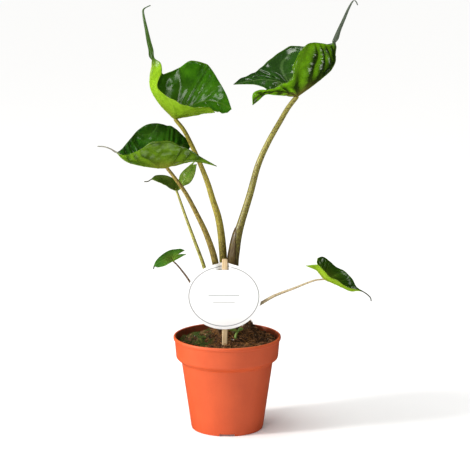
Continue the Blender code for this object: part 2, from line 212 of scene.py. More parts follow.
def closed_rings(rings: int, segments: int, down: bool = False) -> Faces:
    """Join a first point, rings of points and a last point into a closed skin.

    Args:
        rings: How many rings lie between the two single points.
        segments: Points in each ring.
        down: Whether the skin starts at its top, which turns its faces.

    Returns:
        The outward faces.
    """
    faces: Faces = []
    last = 1 + (rings - 1) * segments
    for k in range(segments):
        a, b = k, (k + 1) % segments
        if down:
            a, b = b, a
        faces.append((0, 1 + b, 1 + a))
        for low in range(1, last, segments):
            high = low + segments
            faces.append((low + a, low + b, high + b, high + a))
        faces.append((last + a, last + b, last + segments))
    return faces


def capped_rings(rings: int, sides: int) -> Faces:
    """Join rings of points into a skin with a flat face at each end.

    Args:
        rings: How many rings there are.
        sides: Points in each ring.

    Returns:
        The outward faces.
    """
    faces: Faces = []
    for low in range(0, (rings - 1) * sides, sides):
        for k in range(sides):
            n, high = (k + 1) % sides, low + sides
            faces.append((low + k, low + n, high + n, high + k))
    faces.append(tuple(reversed(range(sides))))
    faces.append(tuple(range((rings - 1) * sides, rings * sides)))
    return faces


def grid_faces(rows: int, columns: int) -> Faces:
    """Quads between this many rows of this many points each."""
    starts = [i * columns + j for i in range(rows - 1) for j in range(columns - 1)]
    return [(a, a + columns, a + columns + 1, a + 1) for a in starts]


def lathe(profile: Sequence[Sequence[float]], segments: int) -> tuple[np.ndarray, Faces]:
    """Turn a profile of radius and height that starts and ends on the axis.

    Args:
        profile: Points from the lower axis point, outwards and up, to the upper one.
        segments: Sides of the turned shape.

    Returns:
        Points in millimetres and outward faces.
    """
    points: list[Row] = [(0, 0, profile[0][1])]
    for radius, z in profile[1:-1]:
        points += circle(radius, z, segments)
    points.append((0, 0, profile[-1][1]))
    return np.array(points, float), closed_rings(len(profile) - 2, segments)


def tube(rows: np.ndarray, sides: int) -> tuple[np.ndarray, Faces, np.ndarray]:
    """Sweep a round section along rows of x, y, z and radius.

    Args:
        rows: The centre line with its radius, in millimetres.
        sides: Points round the section.

    Returns:
        Points, faces, and each point's place on the unrolled tube as cos, sin and length.
    """
    centres = [Vector(row[:3]) for row in rows]
    points: list[Vector] = []
    local: list[Row] = []
    side = Vector((1, 0, 0))
    length = 0.0
    for i, centre in enumerate(centres):
        ahead = (centres[min(i + 1, len(centres) - 1)] - centres[max(i - 1, 0)]).normalized()
        side = (side - ahead * side.dot(ahead)).normalized()
        up = ahead.cross(side)
        length += (centre - centres[max(i - 1, 0)]).length
        radius = float(rows[i][3])
        for k in range(sides):
            a = 2 * pi * k / sides
            points.append(centre + (side * cos(a) + up * sin(a)) * radius)
            local.append((radius * cos(a), radius * sin(a), length))
    return np.array([tuple(p) for p in points]), capped_rings(len(centres), sides), np.array(local)


def length_of(rows: np.ndarray) -> float:
    """Length of a line through rows of points."""
    return float(np.linalg.norm(np.diff(rows, axis=0), axis=1).sum())


@dataclass
class Weld:
    """A sheet of triangles under construction, in which points that coincide are one."""

    points: list[Sequence[float]] = field(default_factory=list)
    triangles: list[tuple[int, ...]] = field(default_factory=list)
    index: dict[Row, int] = field(default_factory=dict)

    def add(self, point: Sequence[float]) -> int:
        """Add a point unless it is there.

        Args:
            point: Its place in millimetres.

        Returns:
            Its number.
        """
        key = tuple(np.round(point, 2))
        if key not in self.index:
            self.index[key] = len(self.points)
            self.points.append(point)
        return self.index[key]

    def fill(self, grid: list[list[int]], turned: bool = False) -> None:
        """Fill a grid of point numbers with triangles.

        Args:
            grid: Rows of point numbers.
            turned: Whether to turn each triangle over.
        """
        for low, high in zip(grid, grid[1:]):
            for a, b, c, d in zip(low, low[1:], high[1:], high):
                for tri in ((a, b, c), (a, c, d)):
                    if len(set(tri)) == 3:
                        self.triangles.append(tri[::-1] if turned else tri)

    def arrays(self) -> tuple[np.ndarray, np.ndarray, np.ndarray]:
        """Give what was built.

        Returns:
            The points, the triangles and the unit normal at each point.
        """
        points, triangles = np.array(self.points), np.array(self.triangles)
        corner = points[triangles]
        facing = np.cross(corner[:, 1] - corner[:, 0], corner[:, 2] - corner[:, 0])
        normals = np.zeros_like(points)
        for k in range(3):
            np.add.at(normals, triangles[:, k], facing)
        normals /= np.linalg.norm(normals, axis=1)[:, None] + 1e-12
        return points, triangles, normals

    def closed(self) -> Faces:
        """Close the thick sheet whose lower points follow all of its upper ones.

        Returns:
            Its upper faces, its lower faces and the faces round its rim.
        """
        count = len(self.points)
        edges = {(t[k], t[(k + 1) % 3]) for t in self.triangles for k in range(3)}
        rim = sorted((a, b) for a, b in edges if (b, a) not in edges)
        under = [tuple(a + count for a in t[::-1]) for t in self.triangles]
        return self.triangles + under + [(b, a, a + count, b + count) for a, b in rim]


# Helpers for materials and other node trees


class Nodes:
    """A node tree under construction."""

    def __init__(self, tree: bpy.types.NodeTree) -> None:
        """Work on a tree that is there."""
        self.tree = tree

    def set(self, socket: Socket, value: object) -> None:
        """Link a socket to another node's output, or give it a constant.

        Args:
            socket: The input.
            value: An output, or the constant; a colour may leave out its alpha.
        """
        if isinstance(value, Socket):
            self.tree.links.new(value, socket)
        elif isinstance(value, tuple) and len(socket.default_value) == 4:
            socket.default_value = (*value, 1.0)
        else:
            socket.default_value = value

    def node(self, kind: str, inputs: dict[str | int, object], **settings: object) -> bpy.types.Node:
        """Add a node.

        Args:
            kind: Its type.
            inputs: Value or source of each input, by its name or number.
            settings: Its own properties.

        Returns:
            The node.
        """
        node = self.tree.nodes.new(kind)
        for key, value in settings.items():
            setattr(node, key, value)
        for key, value in inputs.items():
            self.set(node.inputs[key], value)
        return node

    def first(self, kind: str, inputs: dict[str | int, object], **settings: object) -> Socket:
        """Add a node and give its first output."""
        return self.node(kind, inputs, **settings).outputs[0]

    def maths(self, operation: str, *values: object) -> Socket:
        """One maths node on one to three values."""
        return self.first("ShaderNodeMath", dict(enumerate(values)), operation=operation)


class Shader(Nodes):
    """A node material under construction, with short calls for the nodes it needs."""

    def __init__(self, name: str, slots: dict[str, float | Rgb]) -> None:
        """Start a Principled material.

        Args:
            name: The material's name.
            slots: Constant values for the shader's own sockets.
        """
        self.material = bpy.data.materials.new(name)
        self.material.use_nodes = True
        super().__init__(self.material.node_tree)
        self.surface = self.tree.nodes["Principled BSDF"]
        for socket, value in slots.items():
            self.set(self.surface.inputs[socket], value)

    def place(self, scale: Rgb = (1, 1, 1)) -> Socket:
        """The piece's own coordinates in millimetres, stretched by scale."""
        source = self.node("ShaderNodeTexCoord", {}).outputs["Object"]
        return self.stretch(source, tuple(1000 * s for s in scale))

    def stretch(self, vector: Socket, scale: Rgb) -> Socket:
        """A vector scaled on each axis."""
        return self.first("ShaderNodeMapping", {"Vector": vector, "Scale": scale})

    def own(self, name: str, output: str = "Fac") -> Socket:
        """One of the piece's own attributes."""
        return self.node("ShaderNodeAttribute", {}, attribute_name=name).outputs[output]

    def noise(self, vector: Socket, scale: float, detail: float = 4, rough: float = 0.55) -> Socket:
        """Fractal noise from 0 to 1."""
        inputs = {"Vector": vector, "Scale": scale, "Detail": detail, "Roughness": rough}
        return self.node("ShaderNodeTexNoise", inputs).outputs["Fac"]

    def cells(self, vector: Socket, scale: float) -> Socket:
        """Distance to the nearest of scattered cell centres."""
        return self.first("ShaderNodeTexVoronoi", {"Vector": vector, "Scale": scale})

    def times(self, first: object, second: object) -> Socket:
        """The product of two values."""
        return self.maths("MULTIPLY", first, second)

    def plus(self, base: object, value: object, amount: float) -> Socket:
        """A value times an amount, on top of a base."""
        return self.maths("MULTIPLY_ADD", value, amount, base)

    def band(self, value: object, low: float, high: float) -> Socket:
        """A smooth step from 0 at low to 1 at high."""
        inputs = {"Value": value, "From Min": low, "From Max": high}
        return self.first("ShaderNodeMapRange", inputs, interpolation_type="SMOOTHSTEP")

    def fade(self, value: object, low: float, high: float) -> Socket:
        """A smooth step from 1 at low to 0 at high."""
        return self.maths("SUBTRACT", 1.0, self.band(value, low, high))

    def span(self, factor: object, first: float, second: float) -> Socket:
        """A number between two numbers."""
        return self.first("ShaderNodeMapRange", {"Value": factor, "To Min": first, "To Max": second})

    def mix(self, factor: object, first: object, second: object) -> Socket:
        """Mix two colours, on a node whose colour sockets are told apart by number.

        Args:
            factor: 0 for the first colour and 1 for the second.
            first: The first colour.
            second: The second colour.

        Returns:
            The mixed colour.
        """
        node = self.node("ShaderNodeMix", {}, data_type="RGBA")
        for number, value in ((0, factor), (6, first), (7, second)):
            self.set(node.inputs[number], value)
        return node.outputs[2]

    def wash(self, colour: object, other: object, mask: object, amount: float) -> Socket:
        """A colour with some of another laid over it where a mask says so."""
        return self.mix(self.times(mask, amount), colour, other)

    def finish(self, colour: object, rough: object, relief: Socket | None = None,
               depth: float = 0.1, strength: float = 1.0) -> bpy.types.Material:
        """Give the surface its colour, roughness and relief.

        Args:
            colour: Base colour.
            rough: Roughness.
            relief: Height for a bump, from 0 to 1.
            depth: The bump's height in millimetres.
            strength: How strongly the bump turns the light.

        Returns:
            The finished material.
        """
        self.set(self.surface.inputs["Base Color"], colour)
        self.set(self.surface.inputs["Roughness"], rough)
        if relief is not None:
            inputs = {"Height": relief, "Distance": depth * MM, "Strength": strength}
            self.set(self.surface.inputs["Normal"], self.first("ShaderNodeBump", inputs))
        return self.material


# Finishes


@dataclass(frozen=True)
class LeafSkin:
    """Colours of one blade, above, below and on its tail, with its pale net of veins and painted light and
    shade on its quilting and lower skin.
    """

    name: str
    above: Rgb
    above_light: Rgb
    below: Rgb
    below_light: Rgb
    tail: Rgb = (0.10, 0.15, 0.075)
    vein_above: Rgb = (0.11, 0.25, 0.016)
    vein_below: Rgb = (0.30, 0.42, 0.045)
    pith: Rgb = (0.24, 0.25, 0.026)
    # Strength of the painted highlight on the crests of the quilting and painted shade in its troughs.
    painted_crest_shading: float = 0.5
    blotching: float = 0.6
    # Painted light towards the margin of the lower skin, and painted shade over the whole lower skin.
    margin: float = 0.0
    shade: float = 0.0
    net_gap: float = 4.8

    def build(self, spacing: float) -> list[bpy.types.Material]:
        """Make the upper and the lower skin for veins this far apart, in millimetres."""
        return [self.skin(True, spacing), self.skin(False, spacing)]

    def start(self, upper: bool) -> Shader:
        """Start the upper or the lower skin, with a waxy coat over a dull green.

        Args:
            upper: Whether it is the upper skin.

        Returns:
            The material under construction.
        """
        side, coat = ("upper", 0.16) if upper else ("under", 0.12)
        return Shader(f"{self.name}_{side}side", {
            "Coat Weight": coat, "Coat IOR": 2.6, "Coat Roughness": 0.19,
            "Subsurface Weight": 0.04, "Subsurface Radius": (0.3, 0.6, 0.1),
            "Subsurface Scale": 0.002, "Specular IOR Level": 0.0,
        })

    def skin(self, upper: bool, spacing: float) -> bpy.types.Material:
        """One skin: blotched green with painted light and shade, veins of three orders and a fine pebbled
        relief.

        Args:
            upper: Whether it is the upper skin.
            spacing: Distance between two side veins in millimetres.

        Returns:
            The material.
        """
        shader = self.start(upper)
        place, across, rib = shader.place(), shader.own("across"), shader.own("rib_mm")
        wander = shader.plus(shader.own("vein_phase"), shader.noise(place, 0.09, 3), 0.10)
        first = shader.times(shader.maths("PINGPONG", wander, 0.5), spacing)
        crossing = shader.plus(shader.noise(place, 0.2, 2), rib, 0.21)
        net = shader.times(shader.maths("PINGPONG", crossing, 0.5), self.net_gap)
        line = shader.fade(first, 0.15, 0.62)
        thin = shader.fade(net, 0.05, 0.30)
        fine = shader.noise(place, 0.9, 4, 0.6)
        colour = self.green(shader, place, fine, upper)
        veins = (
            (0.08, shader.fade(first, 0.3, 0.34 * spacing)), (0.08, thin),
            (0.30 if upper else 0.20, line), (0.5, shader.fade(rib, 0.6, 1.7)),
        )
        for amount, mask in veins:
            colour = shader.wash(colour, self.vein_above if upper else self.vein_below, mask, amount)
        colour = shader.wash(colour, self.pith, shader.own("heart"), 0.25 if upper else 0.55)
        colour = shader.wash(colour, self.vein_below, shader.band(across, 0.972, 0.99), 0.2)
        drawn = shader.noise(shader.stretch(place, (1, 1, 0.2)), 0.6, 4)
        whip = shader.mix(drawn, self.tail, tuple(0.35 * c for c in self.tail))
        colour = shader.mix(shader.own("whip"), colour, whip)
        relief = shader.plus(fine, shader.cells(place, 0.7), 0.25)
        sink = shader.maths("ADD", line, shader.times(thin, 0.6))
        relief = shader.plus(relief, sink, -0.9 if upper else 1.0)
        smooth, dull = (0.18, 0.36) if upper else (0.24, 0.40)
        rough = shader.span(shader.noise(place, 0.16, 4), smooth, dull)
        return shader.finish(colour, rough, relief, 0.1, 0.6)

    def green(self, shader: Shader, place: Socket, fine: Socket, upper: bool) -> Socket:
        """The blotched green between the veins, with painted highlight on the crests of the quilting and
        painted shade in its troughs; the lower skin also gets painted shade over all and painted light
        towards its margin.

        Args:
            shader: The skin under construction.
            place: Its coordinates.
            fine: Its finest noise.
            upper: Whether it is the upper skin.

        Returns:
            The colour.
        """
        dark, light = (self.above, self.above_light) if upper else (self.below, self.below_light)
        # Only the lower skin gets painted shade over all and painted light towards its margin.
        shade, margin = (0.0, 0.0) if upper else (self.shade, self.margin)
        blotch = shader.band(shader.noise(place, 0.045, 5, 0.6), 0.34, 0.66)
        low, high = 0.5 - shade - self.blotching / 2, 0.5 - shade + self.blotching / 2
        tone = shader.plus(shader.span(blotch, low, high), shader.maths("SUBTRACT", fine, 0.5), 0.7)
        # Painted highlight on the crests of the quilting and painted shade in its troughs.
        crest = shader.times(shader.maths("SUBTRACT", shader.own("crest"), 0.45), self.painted_crest_shading)
        # Painted light towards the margin of the lower skin.
        lit = shader.times(shader.band(shader.own("across"), 0.62, 0.98), margin)
        return shader.mix(shader.maths("ADD", shader.maths("ADD", tone, crest), lit), dark, light)


@dataclass(frozen=True)
class StalkSkin:
    """Yellow-green stalk with dark brown speckles, thickest low down and drawn out along it."""

    name: str
    pale: Rgb
    green: Rgb
    speck: Rgb = (0.055, 0.028, 0.008)
    low: float = 0.40
    high: float = 0.56

    def build(self) -> bpy.types.Material:
        """Make the mottled skin.

        Returns:
            The material.
        """
        shader = Shader(self.name, {
            "Coat Weight": 0.25, "Coat Roughness": 0.22, "Subsurface Weight": 0.04,
            "Subsurface Scale": 0.002, "Specular IOR Level": 0.35,
        })
        own, rise = shader.own("stalk", "Vector"), shader.own("rise")
        drawn = shader.stretch(own, (1, 1, 0.38))
        specks = shader.noise(drawn, 1.25, 5, 0.66)
        limit = shader.span(shader.band(rise, 0.0, 0.62), self.low, self.high)
        dark = shader.band(shader.maths("SUBTRACT", specks, limit), -0.03, 0.07)
        bands = shader.noise(shader.stretch(own, (0.25, 0.25, 0.12)), 1.0, 3)
        base = shader.mix(shader.band(rise, 0.05, 0.8), self.green, self.pale)
        base = shader.mix(shader.band(shader.noise(drawn, 0.5, 2), 0.42, 0.75), base, self.pale)
        colour = shader.mix(shader.times(dark, shader.span(bands, 0.55, 1.0)), base, self.speck)
        relief = shader.plus(shader.noise(drawn, 3.5, 3), specks, 0.6)
        return shader.finish(colour, shader.span(specks, 0.34, 0.55), relief, 0.12, 0.5)


@dataclass(frozen=True)
class PotPlastic:
    """Moulded terracotta-orange plastic, satin, with faint streaks and scuffs, and soil dust with painted
    shade on the inner wall.
    """

    name: str = "pot_plastic"
    body: Rgb = (0.64, 0.092, 0.018)
    deep: Rgb = (0.50, 0.060, 0.012)
    scuff: Rgb = (0.80, 0.26, 0.12)
    # Soil dust and painted shade of the inner wall, in one colour.
    dust_and_shade: Rgb = (0.15, 0.042, 0.018)
    worn_from: float = 104.6
    worn_to: float = 106.2

    def build(self) -> bpy.types.Material:
        """Make the plastic.

        Returns:
            The material.
        """
        shader = Shader(self.name, {"Specular IOR Level": 0.5})
        place = shader.place()
        height = shader.node("ShaderNodeSeparateXYZ", {"Vector": place}).outputs[2]
        cloud = shader.noise(place, 0.035, 4)
        streak = shader.noise(shader.stretch(place, (1, 1, 0.06)), 0.5, 4)
        grain = shader.noise(place, 2.6, 4)
        scratch = shader.band(shader.noise(shader.stretch(place, (0.5, 0.5, 3.2)), 0.55, 6), 0.66, 0.76)
        worn = shader.times(shader.band(height, self.worn_from, self.worn_to), shader.band(grain, 0.4, 0.6))
        smear = shader.span(shader.band(shader.noise(place, 0.25, 5), 0.3, 0.62), 0.72, 1.0)
        colour = shader.mix(shader.plus(cloud, streak, 0.35), self.deep, self.body)
        colour = shader.wash(colour, self.scuff, scratch, 0.16)
        colour = shader.wash(colour, self.scuff, worn, 0.35)
        # Smears of soil dust with painted shade darken the inner wall above the soil.
        colour = shader.wash(colour, self.dust_and_shade, shader.times(shader.own("inside"), smear), 0.86)
        rough = shader.span(shader.plus(cloud, streak, 0.5), 0.34, 0.52)
        relief = shader.plus(shader.times(grain, 0.5), scratch, -0.5)
        return shader.finish(colour, rough, relief, 0.05, 0.35)


class Litter(Enum):
    """What lies in the pot: darkest and palest colour, roughness and how far a bit may tilt."""

    PEAT = ((0.010, 0.006, 0.003), (0.120, 0.058, 0.026), 0.9, pi)
    MOSS = ((0.010, 0.028, 0.005), (0.105, 0.185, 0.034), 0.8, 0.35)
    COIR = ((0.060, 0.022, 0.006), (0.36, 0.165, 0.045), 0.75, 0.9)
    FIBRE = ((0.10, 0.035, 0.012), (0.46, 0.22, 0.10), 0.7, 0.35)
    GRIT = ((0.26, 0.24, 0.20), (0.55, 0.52, 0.44), 0.85, pi)

    def build(self) -> bpy.types.Material:
        """Make the material, with a tone of its own for each scattered bit.

        Returns:
            The material.
        """
        dark, pale, rough, _ = self.value
        shader = Shader(f"litter_{self.name.lower()}", {"Specular IOR Level": 0.25})
        place = shader.place()
        grain = shader.times(shader.noise(place, 1.4, 6, 0.65), 0.5)
        tone = shader.band(shader.plus(grain, shader.own("tone"), 0.6), 0.15, 0.95)
        return shader.finish(shader.mix(tone, dark, pale), rough, shader.noise(place, 3.0, 5), 0.25, 0.8)


@dataclass(frozen=True)
class SoilSurface:
    """Damp potting mix, dark with brown crumbs, green where moss has taken."""

    name: str = "soil_surface"
    wet: Rgb = (0.010, 0.006, 0.004)
    dry: Rgb = (0.125, 0.060, 0.026)
    moss: Rgb = (0.045, 0.10, 0.018)

    def build(self) -> bpy.types.Material:
        """Make the soil.

        Returns:
            The material.
        """
        shader = Shader(self.name, {"Specular IOR Level": 0.3})
        place = shader.place()
        grain = shader.noise(place, 1.1, 8, 0.7)
        patchy = shader.band(shader.noise(place, 0.5, 5), 0.42, 0.6)
        colour = shader.mix(shader.band(grain, 0.3, 0.72), self.wet, self.dry)
        colour = shader.wash(colour, self.moss, shader.times(shader.own("moss"), patchy), 0.8)
        relief = shader.plus(grain, shader.cells(place, 0.42), 0.7)
        return shader.finish(colour, shader.span(grain, 0.7, 1.0), relief, 0.9, 0.9)


@dataclass(frozen=True)
class Wood:
    """Pale sanded wood with its grain along the stick."""

    name: str = "pale_wood"
    pale: Rgb = (0.66, 0.50, 0.29)
    grain: Rgb = (0.42, 0.27, 0.13)

    def build(self) -> bpy.types.Material:
        """Make the wood.

        Returns:
            The material.
        """
        shader = Shader(self.name, {"Specular IOR Level": 0.35})
        place = shader.place((1, 1, 0.035))
        rings = shader.noise(place, 1.5, 5, 0.6)
        pores = shader.band(shader.noise(place, 6.0, 3), 0.6, 0.75)
        colour = shader.mix(shader.band(rings, 0.42, 0.72), self.pale, self.grain)
        colour = shader.wash(colour, self.grain, pores, 0.35)
        return shader.finish(colour, 0.62, shader.plus(rings, pores, -0.6), 0.12, 0.6)


@dataclass(frozen=True)
class PrintedCard:
    """White satin card with a thin grey oval line and two plain ruled lines.

    Each ruled line has its height from the card's centre, half of its length and half of its
    thickness.
    """

    name: str = "printed_card"
    white: Rgb = (0.90, 0.90, 0.89)
    ink: Rgb = (0.30, 0.30, 0.31)
    centre: tuple[float, float] = (-3.5, 155.6)
    ring: tuple[float, float] = (38.6, 33.6)
    line: float = 0.5
    ruled: tuple[Rgb, ...] = ((1.0, 17.0, 0.42), (-6.5, 12.0, 0.3))

    def marks(self, shader: Shader, place: Socket) -> Socket:
        """Where the ink lies.

        Args:
            shader: The card's material under construction.
            place: Its coordinates.

        Returns:
            1 on the ink and 0 beside it.
        """
        x, _, z = shader.node("ShaderNodeSeparateXYZ", {"Vector": place}).outputs
        from_centre = [shader.maths("SUBTRACT", v, c) for v, c in zip((x, z), self.centre)]
        dx, dz = (shader.maths("DIVIDE", v, r) for v, r in zip(from_centre, self.ring))
        reach = shader.maths("SQRT", shader.maths("ADD", shader.times(dx, dx), shader.times(dz, dz)))
        off = shader.times(shader.maths("ABSOLUTE", shader.maths("SUBTRACT", reach, 1.0)), 36)
        ink = shader.fade(off, self.line - 0.14, self.line + 0.14)
        for height, half, thick in self.ruled:
            off = shader.maths("ABSOLUTE", shader.maths("SUBTRACT", z, self.centre[1] + height))
            row = shader.fade(off, thick - 0.12, thick + 0.12)
            near = shader.maths("LESS_THAN", shader.maths("ABSOLUTE", from_centre[0]), half)
            ink = shader.maths("MAXIMUM", ink, shader.times(row, near))
        return ink

    def build(self) -> bpy.types.Material:
        """Make the card; the ink is only on the face that looks to -Y.

        Returns:
            The material.
        """
        shader = Shader(self.name, {"Specular IOR Level": 0.4})
        place = shader.place()
        fleck = shader.noise(place, 1.5, 5)
        printed = shader.times(self.marks(shader, place), shader.own("front"))
        colour = shader.mix(printed, self.white, self.ink)
        colour = shader.wash(colour, self.ink, shader.band(fleck, 0.62, 0.8), 0.06)
        return shader.finish(colour, shader.span(fleck, 0.38, 0.5), fleck, 0.03, 0.3)


@dataclass(frozen=True)
class Bark:
    """Brown-green stem base with papery sheaths and rings."""

    name: str = "crown_bark"
    brown: Rgb = (0.055, 0.026, 0.010)
    green: Rgb = (0.20, 0.105, 0.034)

    def build(self) -> bpy.types.Material:
        """Make the stem base.

        Returns:
            The material.
        """
        shader = Shader(self.name, {"Specular IOR Level": 0.3})
        place = shader.place()
        strand = shader.noise(shader.stretch(place, (1, 1, 0.12)), 0.9, 5)
        ring = shader.noise(shader.stretch(place, (0.2, 0.2, 1.4)), 1.0, 4)
        colour = shader.mix(shader.band(strand, 0.38, 0.66), self.brown, self.green)
        return shader.finish(colour, 0.75, shader.plus(strand, ring, 0.6), 0.5, 0.8)


@dataclass(frozen=True)
class YoungGreen:
    """Tender light green of the shoot, faintly streaked."""

    name: str = "young_green"
    green: Rgb = (0.10, 0.24, 0.03)
    pale: Rgb = (0.32, 0.46, 0.10)

    def build(self) -> bpy.types.Material:
        """Make the skin.

        Returns:
            The material.
        """
        slots = {"Coat Weight": 0.2, "Subsurface Weight": 0.15, "Subsurface Scale": 0.002}
        shader = Shader(self.name, slots)
        streak = shader.noise(shader.place((1, 1, 0.3)), 1.3, 4)
        return shader.finish(shader.mix(streak, self.green, self.pale), 0.42, streak, 0.1, 0.5)


@dataclass(frozen=True)
class WhiteFloor:
    """Plain white paper that gives off a little light, so that it stays white."""

    name: str = "floor"
    dull: Rgb = (0.95, 0.95, 0.95)
    clean: Rgb = (0.97, 0.97, 0.97)
    glow: float = 0.07

    def build(self) -> bpy.types.Material:
        """Make the paper.

        Returns:
            The material.
        """
        shader = Shader(self.name, {
            "Specular IOR Level": 0.0, "Emission Color": (1.0, 1.0, 1.0), "Emission Strength": self.glow,
        })
        return shader.finish(shader.mix(shader.noise(shader.place(), 0.02, 2), self.dull, self.clean), 0.6)


# Tables of the object, in millimetres

PLY = 0.8
POT_PROFILE: list[tuple[float, float]] = [
    (0, 0), (14, 0), (15.5, 3), (31, 3), (32.8, 0), (39.6, 0), (40.4, 0.8),
    (51.2, 76.6), (56.6, 81.2), (57.2, 82.8), (58.8, 101.8), (60, 102.3), (60.2, 103.2),
    (60.2, 105.2), (59.4, 106), (58.2, 106), (57.4, 105.2), (57.2, 102), (55.6, 83.4),
    (55, 82), (49.8, 77.4), (39.3, 5.6), (38, 4.6), (0, 4.6),
]
SOIL_SIDE = [(55.8, 94), (54.9, 83.4), (54.3, 82.2), (49.2, 77.6), (38.8, 6.2), (37.5, 5.0)]


@dataclass(frozen=True)
class BladeShape:
    """One leaf blade between its midrib, two lobe ribs and its margins.

    Tail rows hold the midrib and half width from the tip of the whip down, front rows the
    midrib, near margin and far margin down to the stalk. Lobe rows hold the lobe's rib,
    outer margin and inner margin, and the last of them is the lobe's tip.
    """

    tail: list[Row]
    side: Row
    front: list[tuple[Row, Row, Row]]
    near: list[tuple[Row, Row, Row]]
    far: list[tuple[Row, Row, Row]]
    sinus: Row
    sag: tuple[Row, Row]
    mirrored: bool = False


PETIOLES: dict[str, list[Row]] = {
    "petiole_1": [
        (-1, 18, 104, 4.5), (-3, 12, 150, 4.5), (-5, 8, 201, 4.3), (-9, 7.5, 235, 3.9),
        (-16, 7, 259, 3.4), (-22, 7, 279, 3.0), (-31, 7, 302, 2.6), (-41, 7.5, 324, 2.4),
        (-48, 8, 337, 2.3), (-56.1, 8, 347.3, 2.2),
    ],
    "petiole_2": [
        (8, 9, 104, 5.8), (7, 4, 150, 6.2), (6.5, 0, 187, 6.4), (8.5, -0.5, 205, 6.1),
        (11, -0.5, 219, 5.4), (15.5, 0, 234, 4.3), (25, 1, 265, 3.8), (34, 2, 298, 3.4),
        (45, 3, 323, 3.1), (59, 4, 348, 2.9), (67, 5, 361.5, 2.8), (75.6, 5, 372.9, 2.7),
    ],
    "petiole_3": [
        (-7, 6, 104, 3.9), (-9, 0, 150, 3.9), (-13, -6, 190, 3.7), (-22, -10, 221, 3.2),
        (-33, -13, 246, 2.7), (-45, -17, 270, 2.3), (-57, -20, 288, 2.0),
        (-64.7, -22, 298.4, 1.9),
    ],
    "petiole_4": [
        (-8.5, 16.5, 104, 2.2), (-18, 14, 150, 2.2), (-26, 13, 182, 2.1), (-36, 17, 209, 1.9),
        (-46, 21, 236, 1.6), (-53, 24, 256, 1.4), (-56.6, 25, 266.1, 1.3),
    ],
    "petiole_5": [
        (-6, 0, 104, 1.3), (-15, -6, 125, 1.3), (-30, -11, 151, 1.2), (-43, -13, 173, 1.1),
        (-49, -15, 182, 1.0), (-55, -17, 190, 0.9), (-59.8, -18.3, 195, 0.8),
    ],
    "petiole_6": [
        (5, -0.5, 104, 2.1), (11, -2, 118, 2.1), (24, -9, 136, 2.0), (39, -17, 147.5, 1.8),
        (53, -21, 156.5, 1.6), (73, -26, 165.5, 1.3), (87, -29, 172, 1.1),
        (97, -31, 176, 1.0), (105.7, -32.2, 177.2, 0.9),
    ],
}

